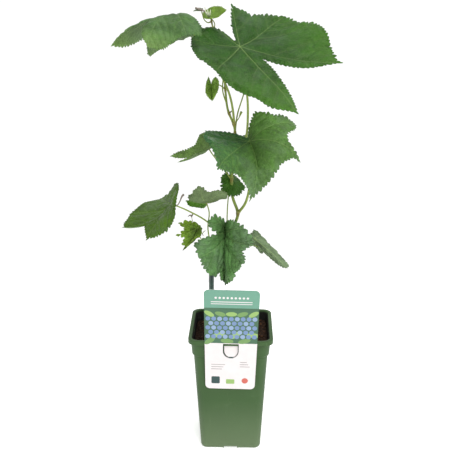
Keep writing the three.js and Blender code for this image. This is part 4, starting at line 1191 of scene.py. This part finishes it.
def soil_surface():
    """The bed's uneven top: its points and the triangles between them."""
    rng = np.random.default_rng(5)
    ring = np.array(square_ring(SOIL_HALF, SOIL_CORNER, 0, 10))[:, :2]
    grain = 1.15
    span = np.arange(-SOIL_HALF, SOIL_HALF, grain)
    grid = np.array([(x, y) for x in span for y in span]) + rng.uniform(-0.3, 0.3, (len(span) ** 2, 2))
    corner = np.maximum(np.abs(grid) - (SOIL_HALF - SOIL_CORNER), 0)
    grid = grid[(np.hypot(corner[:, 0], corner[:, 1]) < 9.2) & (np.abs(grid).max(1) < SOIL_HALF - 0.4)]
    spots = [Vector(p) for p in ring] + [Vector(p) for p in grid]
    found = delaunay_2d_cdt(spots, [], [list(range(len(ring)))], 1, 1e-4)
    spots = np.array([(v.x, v.y) for v in found[0]])
    triangles = [tuple(f) for f in found[2]]
    a, b, c = (spots[i] for i in triangles[0])
    if np.cross(b - a, c - a) < 0:
        triangles = [f[::-1] for f in triangles]
    level = []
    for x, y in spots:
        broad = 1.6 * noise.noise(Vector((x, y, 0)) / 19)
        clods = 1.5 * noise.turbulence(Vector((x, y, 4)) / 8, 3, False)
        edge = SOIL_HALF - max(abs(x), abs(y))
        level.append(SOIL_LEVEL - 1.4 + broad + clods - 1.2 * math.exp(-edge / 3))
    return np.column_stack([spots, level]), triangles


def build_soil_bed(top, triangles):
    """The filling below the surface, drawn in ring by ring to fit the pot."""
    rims = boundary(triangles)
    follow = dict(rims)
    loop = [rims[0][0]]
    while follow[loop[-1]] != loop[0]:
        loop.append(follow[loop[-1]])
    verts = [tuple(p) for p in top]
    faces = list(triangles)
    previous = loop
    for half_width, z in [(48.3, 147), (48.0, 141), (46.3, 138.5), (inner_half(4.9) - 0.5, 4.9)]:
        share = half_width / SOIL_HALF
        ring = [len(verts) + k for k in range(len(loop))]
        verts += [(top[i][0] * share, top[i][1] * share, z) for i in loop]
        for k in range(len(loop)):
            n = (k + 1) % len(loop)
            faces.append((previous[k], ring[k], ring[n], previous[n]))
        previous = ring
    faces.append(tuple(previous[::-1]))
    piece("soil_bed", verts, faces, [soil_finish("soil_dark", *SOIL_COLOURS)], "soil", replaces=["soil"])


def add_crumbs(bundle, ground):
    """Crumbs of peat and chips of bark, half sunk in the bed."""
    seed = bmesh.new()
    bmesh.ops.create_icosphere(seed, subdivisions=1, radius=1)
    seed.verts.ensure_lookup_table()
    ball = np.array([v.co[:] for v in seed.verts])
    ball_faces = [tuple(v.index for v in f.verts) for f in seed.faces]
    seed.free()
    for k in range(CRUMBS):
        x, y = (random.uniform(-SOIL_HALF + 1.5, SOIL_HALF - 1.5) for _ in range(2))
        corner = math.hypot(max(0, abs(x) - SOIL_HALF + 10), max(0, abs(y) - SOIL_HALF + 10))
        size = 0.5 + 1.9 * random.random() ** 2.6
        if corner > 8.5 or math.hypot(x - WOOD_FOOT[0], y - WOOD_FOOT[1]) < 5:
            continue
        stretch = np.array([random.uniform(0.7, 1.5), random.uniform(0.7, 1.3), random.uniform(0.45, 0.85)])
        bumps = np.array([noise.noise(Vector(b) * 1.6 + Vector((k, 0, 0))) for b in ball])
        shape = ball * (1 + 0.45 * bumps)[:, None]
        a = random.uniform(0, 6.3)
        shape = shape * stretch * size
        spun = np.column_stack([shape[:, 0] * math.cos(a) - shape[:, 1] * math.sin(a),
                                shape[:, 0] * math.sin(a) + shape[:, 1] * math.cos(a), shape[:, 2]])
        bark = random.random() < 0.2
        bundle.add(spun + (x, y, ground(x, y) + 0.25 * size), ball_faces, 1 if bark else 0)


def add_fibres(bundle, ground):
    """Short fibres lying on the bed."""
    for k in range(FIBRES):
        x, y = (random.uniform(-SOIL_HALF + 7, SOIL_HALF - 7) for _ in range(2))
        if math.hypot(x - WOOD_FOOT[0], y - WOOD_FOOT[1]) < 6:
            continue
        a, length = random.uniform(0, 6.3), random.uniform(3, 10)
        trail = []
        for i in range(7):
            t = (i / 6 - 0.5) * length
            px, py = x + t * math.cos(a + 0.06 * i), y + t * math.sin(a + 0.06 * i)
            px, py = (max(-SOIL_HALF + 1, min(SOIL_HALF - 1, v)) for v in (px, py))
            trail.append((px, py, ground(px, py) + 0.35 + 0.25 * math.sin(i + k)))
        thin = random.uniform(0.16, 0.38)
        verts, faces, _ = tube(np.array(trail), lambda i, angle: thin * (1 - 0.12 * abs(i - 3)), 6)
        bundle.add(verts, faces, 2)


def build_soil():
    top, triangles = soil_surface()
    build_soil_bed(top, triangles)
    finder = kdtree.KDTree(len(top))
    for i, p in enumerate(top):
        finder.insert((p[0], p[1], 0), i)
    finder.balance()

    def ground(x, y):
        return top[finder.find((x, y, 0))[1]][2]

    random.seed(12)
    bundle = Bundle()
    add_crumbs(bundle, ground)
    add_fibres(bundle, ground)
    bundle.piece("soil_crumbs", [
        soil_finish("crumb_dark", *(scaled(colour, 1.1) for colour in SOIL_COLOURS)),
        soil_finish("crumb_bark", linear("3a2416"), linear("5d412b")),
        soil_finish("crumb_fibre", linear("4a3423"), linear("7a5c40"))], "soil")


# ------------------------------------------------------------------ plant card

# the deep green ink also paints the shadow along the cut round the tongue
INKS = (
    ("card_pale", "fff8f7"), ("print_head_green", "78b098"), ("print_field_green", "4a7556"),
    ("print_leaf_green", "7ea862"), ("print_lime", "a4ca74"), ("print_blue", "7f9cc8"),
    ("deep_green_print_and_cut_shadow", "2c4b48"), ("print_coral", "df6f60"), ("print_grey", "aaa4a4"),
    ("print_pale_blue", "9db6da"),
)
WHITE, HEAD, FIELD, LEAFY, LIME, BLUE, DEEP_PRINT_AND_SHADOW, CORAL, LINE, PALE_BLUE = range(len(INKS))
FIELD_FOOT, FIELD_TOP = 69.5, 121  # heights on the card


def disc(x, y, radius, count=22, tall=1.0, turn=0):
    c, s = math.cos(math.radians(turn)), math.sin(math.radians(turn))
    out = []
    for k in range(count):
        a = 2 * math.pi * k / count
        px, py = radius * math.cos(a), radius * tall * math.sin(a)
        out.append((x + px * c - py * s, y + px * s + py * c))
    return out


def corner_arcs(centres, r, steps):
    """A loop of four quarter arcs, from the lower right corner round to the lower left."""
    out = []
    for corner, (cx, cy) in enumerate(centres):
        for k in range(steps + 1):
            a = math.radians(90 * (corner - 1) + 90 * k / steps)
            out.append((cx + r * math.cos(a), cy + r * math.sin(a)))
    return out


def rounded_box(x0, y0, x1, y1, r, steps=5):
    return corner_arcs(((x1 - r, y0 + r), (x1 - r, y1 - r), (x0 + r, y1 - r), (x0 + r, y0 + r)), r, steps)


def inside_polygon(points, polygon):
    x, y = points[:, 0], points[:, 1]
    inside = np.zeros(len(points), bool)
    for (ax, ay), (bx, by) in zip(polygon, polygon[1:] + polygon[:1]):
        crosses = (ay > y) != (by > y)
        with np.errstate(divide="ignore", invalid="ignore"):
            at = ax + (y - ay) * (bx - ax) / (by - ay)
        inside ^= crosses & (x < at)
    return inside


def tongue_loop(half_width, foot, top):
    out = [(-half_width, top)]
    for k in range(25):
        a = math.radians(180 + 180 * k / 24)
        out.append((half_width * math.cos(a), foot + half_width + half_width * math.sin(a)))
    out.append((half_width, top))
    return out


def along_card(z):
    """Height on the card, from its foot, of a point that lies at level z."""
    return CARD["height"] - (CARD["level"] - z) / math.cos(math.radians(CARD["lean"]))


def card_back(z):
    """Place of the card's back, front to rear, at level z."""
    return -LIP_HALF - GAP - 0.6 + math.tan(math.radians(CARD["lean"])) * (LIP_MIDDLE - z)


def hang(u, v, w):
    """Card coordinates (across, up, toward the viewer) to the part's frame."""
    swing, lean = math.radians(CARD["swing"]), math.radians(90 + CARD["lean"])
    v = v - along_card(LIP_MIDDLE)
    x = u * math.cos(swing) - v * math.sin(swing)
    y = u * math.sin(swing) + v * math.cos(swing)
    return np.stack([x + CARD["middle"], y * math.cos(lean) - w * math.sin(lean) - LIP_HALF - GAP - 0.6,
                     y * math.sin(lean) + w * math.cos(lean) + LIP_MIDDLE], -1)


def band(low, high):
    """A band of print right across the card."""
    return [(-40, low), (40, low), (40, high), (-40, high)]


def card_print():
    """Shapes with their inks, later ones over earlier ones, from the middle of the card's foot.

    The head is green, the field has rows of dots between ovals and the pale foot has plain marks."""
    window_foot, window_top = along_card(TONGUE_FOOT), along_card(TONGUE_TOP)
    # the deep ring round the window is painted shadow along the cut
    shapes = [(HEAD, band(FIELD_TOP, 150)), (FIELD, band(FIELD_FOOT, FIELD_TOP)),
              (DEEP_PRINT_AND_SHADOW, tongue_loop(TONGUE_HALF + CUT_SHADOW_WIDTH, window_foot - CUT_SHADOW_WIDTH, window_top))]
    for k in range(6):
        x, y = (-27 + 11 * k, 73 + 9 * (k % 2))
        shapes.append((LIME if k % 2 else LEAFY, disc(x, y, 8.2, 26, 0.42, 38 - 22 * (k % 3))))
    for k in range(5):
        shapes.append((LEAFY if k % 2 else LIME, disc(-28 + 14 * k, 112.5, 7, 24, 0.45, -30 + 15 * k)))
    for row in range(5):
        for k in range(9 - row % 2):
            x, y = -29.6 + 7.4 * k + 3.7 * (row % 2), 79.5 + 6.5 * row
            shapes.append((PALE_BLUE if (k + row) % 3 == 0 else BLUE, disc(x, y, 3.1, 20)))
    shapes += [(WHITE, disc(-20 + 5 * k, 135.5, 1.5, 14)) for k in range(9)]
    shapes += [
        (WHITE, rounded_box(-26, 129.2, 26, 130.3, 0.4, 2)),
        (WHITE, rounded_box(-26, 126.4, 26, 127.3, 0.4, 2)),
        (DEEP_PRINT_AND_SHADOW, rounded_box(-24.5, 8, -13.5, 19, 1.6)),
        (LIME, rounded_box(-5.5, 8, 5.5, 15, 1)),
        (CORAL, disc(19, 13, 4.2, 24)),
    ]
    for k in range(3):
        shapes.append((LINE, rounded_box(-25, 30 + 3.4 * k, -11 + 2 * k, 30.9 + 3.4 * k, 0.4, 2)))
        shapes.append((LINE, rounded_box(12, 34 + 3.4 * k, 25 - 2 * k, 34.9 + 3.4 * k, 0.4, 2)))
    return shapes


def card_sheet():
    """The flat card with its window: points, triangles and the ink of each."""
    h, corner = CARD["height"], CARD["corner"]
    foot, top = CARD["foot"] / 2, CARD["top"] / 2
    outline = corner_arcs(((foot - corner, corner), (top - corner, h - corner),
                           (-top + corner, h - corner), (-foot + corner, corner)), corner, 8)
    window = tongue_loop(TONGUE_HALF, along_card(TONGUE_FOOT), along_card(TONGUE_TOP))
    shapes = card_print()
    spots = [Vector(p) for p in outline]
    ties = [(i, (i + 1) % len(outline)) for i in range(len(outline))]
    for loop in [window] + [shape for _, shape in shapes]:
        first = len(spots)
        spots += [Vector(p) for p in loop]
        ties += [(first + i, first + (i + 1) % len(loop)) for i in range(len(loop))]
    spots += [Vector((2.1 * i + 0.13, 4.0 * j + 0.17)) for i in range(-16, 17) for j in range(1, 36)]
    found = delaunay_2d_cdt(spots, ties, [], 0, 1e-4)
    points = np.array([(v.x, v.y) for v in found[0]])
    triangles = np.array([f for f in found[2]])
    corners = points[triangles]
    area = np.cross(corners[:, 1] - corners[:, 0], corners[:, 2] - corners[:, 0])
    triangles[area < 0] = triangles[area < 0][:, ::-1]
    middle = points[triangles].mean(1)
    keep = inside_polygon(middle, outline) & ~inside_polygon(middle, window) & (np.abs(area) > 1e-7)
    triangles, middle = triangles[keep], middle[keep]
    ink = np.zeros(len(triangles), int)
    for colour, shape in shapes:
        ink[inside_polygon(middle, shape)] = colour
    used, triangles = np.unique(triangles, return_inverse=True)
    return points[used], [tuple(t) for t in triangles.reshape(-1, 3).tolist()], ink


def tongue_route():
    """The tongue leaves the card at its foot and goes up behind the skirt of the lip."""
    low = TONGUE_FOOT + TONGUE_CUT
    behind = -(LIP_HALF - SKIRT_WALL - 1.15)
    bend_height = POT_HEIGHT - LIP_DROP - 0.8
    route, _ = smooth_path([(0, card_back(low) - 0.45, low - 1.3), (0, card_back(low) - 0.35, low + 0.6),
                            (0, (card_back(low) + behind) / 2 + 0.2, (low + bend_height) / 2 + 0.4),
                            (0, behind - 0.1, bend_height), (0, behind, bend_height + 3)], 30)
    return route


def tongue_half_width(up):
    """Half width of the tongue, round at its foot, at a height above that foot."""
    inner = TONGUE_HALF - TONGUE_CUT
    narrow = TONGUE_HALF * 0.26
    if up < 0:
        return narrow
    if up < inner:
        return max(narrow, math.sqrt(max(0, inner**2 - (inner - up) ** 2)))
    return inner


def card_tongue():
    """The tongue cut from the card: vertices, faces and the ink of each."""
    low = TONGUE_FOOT + TONGUE_CUT
    route = tongue_route()
    widths = [tongue_half_width(p[2] - low) for p in route]
    normal = np.cross(unit_rows(np.gradient(route, axis=0)), (1, 0, 0))
    across = np.linspace(-1, 1, 9)
    verts = [p + nrm * sign + np.array([a * w + CARD["middle"] + 0.2, 0, 0])
             for sign in (-0.25, 0.25) for p, w, nrm in zip(route, widths, normal) for a in across]
    rows, columns = len(route), len(across)
    faces = []
    for layer, flip in ((0, True), (rows * columns, False)):
        for i in range(rows - 1):
            for j in range(columns - 1):
                a = layer + i * columns + j
                quad = (a, a + 1, a + columns + 1, a + columns)
                faces.append(quad if flip else quad[::-1])
    loop = [(0, j) for j in range(columns)] + [(i, columns - 1) for i in range(1, rows)]
    loop += [(rows - 1, j) for j in range(columns - 2, -1, -1)] + [(i, 0) for i in range(rows - 2, 0, -1)]
    edge = [i * columns + j for i, j in loop]
    for a, b in zip(edge, edge[1:] + edge[:1]):
        faces.append((b, a, a + rows * columns, b + rows * columns))
    # the tongue's foot is painted deep green as shadow where it passes through the cut
    inks = [DEEP_PRINT_AND_SHADOW if np.mean([verts[i][2] for i in f]) < low + CUT_SHADOW_WIDTH else WHITE for f in faces]
    return verts, faces, inks


def build_card():
    points, tri, ink = card_sheet()
    # a card bows a little across its width
    bow = 0.5 * (1 - (points[:, 0] / 35) ** 2) * np.clip(np.abs(points[:, 1] - 60) / 60, 0, 1)
    front = hang(points[:, 0], points[:, 1], CARD["thick"] + 0.1 + bow)
    back = hang(points[:, 0], points[:, 1], 0.1 + bow)
    n = len(points)
    rims = boundary(tri)
    faces = tri + [(n + a, n + c, n + b) for a, b, c in tri] + [(a, n + a, n + b, b) for a, b in rims]
    bundle = Bundle()
    bundle.add(np.concatenate([front, back]), faces, [int(i) for i in ink] + [WHITE] * (len(tri) + len(rims)))
    bundle.add(*card_tongue())
    inks = [print_finish(name, scaled(albedo(colour), 0.86), 0.03) for name, colour in INKS]
    return bundle.piece("plant_card", inks, "label", replaces=["label_card"], sharp=40)


# ------------------------------------------------------------------ stage

# places in metres, angles in degrees, lens and sensor in millimetres
CAMERA_AT, CAMERA_PITCH, CAMERA_YAW = (0.0164, -0.9465, 0.5783), 16.2, 1.5
LENS, SENSOR_WIDTH = 60.9, 36
LIGHT_AIM = (0, 0, 0.3)
LIGHTS = (  # name, place, size, power
    ("key", (0.5, -1.5, 2.0), 0.9, 30),
    ("fill", (1.5, -1.2, 1.0), 1.2, 4),
    ("top", (0.1, 0.5, 2.2), 1.2, 10),
)
FLOOR_RADIUS, FLOOR_SIDES = 0.6, 96


def build_stage():
    floor = Finish("floor_pale", specular_ior_level=0.1)
    patches = floor.range(floor.noise(3, 2), 0.3, 0.7)
    floor.colour(floor.mix(patches, (0.915, 0.915, 0.915, 1), (0.93, 0.93, 0.93, 1)))
    floor.roughness(0.9)
    floor.shader.inputs["Emission Color"].default_value = (1, 1, 1, 1)
    floor.shader.inputs["Emission Strength"].default_value = 0.45
    mesh = bpy.data.meshes.new("floor")
    turns = [k * math.pi / (FLOOR_SIDES / 2) for k in range(FLOOR_SIDES)]
    ring = [(FLOOR_RADIUS * math.cos(a), FLOOR_RADIUS * math.sin(a), 0) for a in turns]
    mesh.from_pydata(ring, [], [tuple(range(FLOOR_SIDES))])
    mesh.materials.append(floor.mat)
    ground = placed("floor", mesh)
    world = bpy.data.worlds.new("studio")
    world.use_nodes = True
    tree = world.node_tree
    tree.nodes["Background"].inputs["Color"].default_value = (1, 1, 1, 1)
    split = tree.nodes.new("ShaderNodeSeparateXYZ")
    tree.links.new(tree.nodes.new("ShaderNodeTexCoord").outputs["Generated"], split.inputs[0])
    sky = tree.nodes.new("ShaderNodeMapRange")
    for key, number in (("From Min", 0.1), ("From Max", 0.9), ("To Min", 1.06), ("To Max", 0.5)):
        sky.inputs[key].default_value = number
    tree.links.new(split.outputs["Z"], sky.inputs["Value"])
    tree.links.new(sky.outputs["Result"], tree.nodes["Background"].inputs["Strength"])
    bpy.context.scene.world = world
    for name, where, size, power in LIGHTS:
        light = bpy.data.lights.new(name, "AREA")
        light.size = size
        light.energy = power
        lamp = placed(name, light)
        lamp.location = where
        lamp.rotation_euler = (Vector(LIGHT_AIM) - Vector(where)).to_track_quat("-Z", "Y").to_euler()
    data = bpy.data.cameras.new("camera")
    data.lens = LENS
    data.sensor_width = SENSOR_WIDTH
    camera = placed("camera", data)
    camera.location = CAMERA_AT
    camera.rotation_euler = (math.radians(90 - CAMERA_PITCH), 0, math.radians(CAMERA_YAW))
    bpy.context.scene.camera = camera
    bpy.context.scene.view_settings.view_transform = "Standard"


# ------------------------------------------------------------------ assembly

STALK = stem_finish("leaf_stalk", albedo("a0b45e"), albedo("957a50"), 0.12)
SHOOT = stem_finish("green_shoot", albedo("8ea44e"), albedo("8a6844"), 0.18)
DRY = stem_finish("dry_bract", albedo("9a8f86"), albedo("7d6a60"), 0.4)
PALE = stem_finish("unfolding_shoot", albedo("d3d9bd"), albedo("a9a89a"), 0.2)
WAX = wax_finish()

build_stage()
build_pot()
build_soil()
build_card()
build_wood()
build_shoot()
build_small_growths()
for number, one in enumerate(LEAVES):
    build_leaf(one, number)
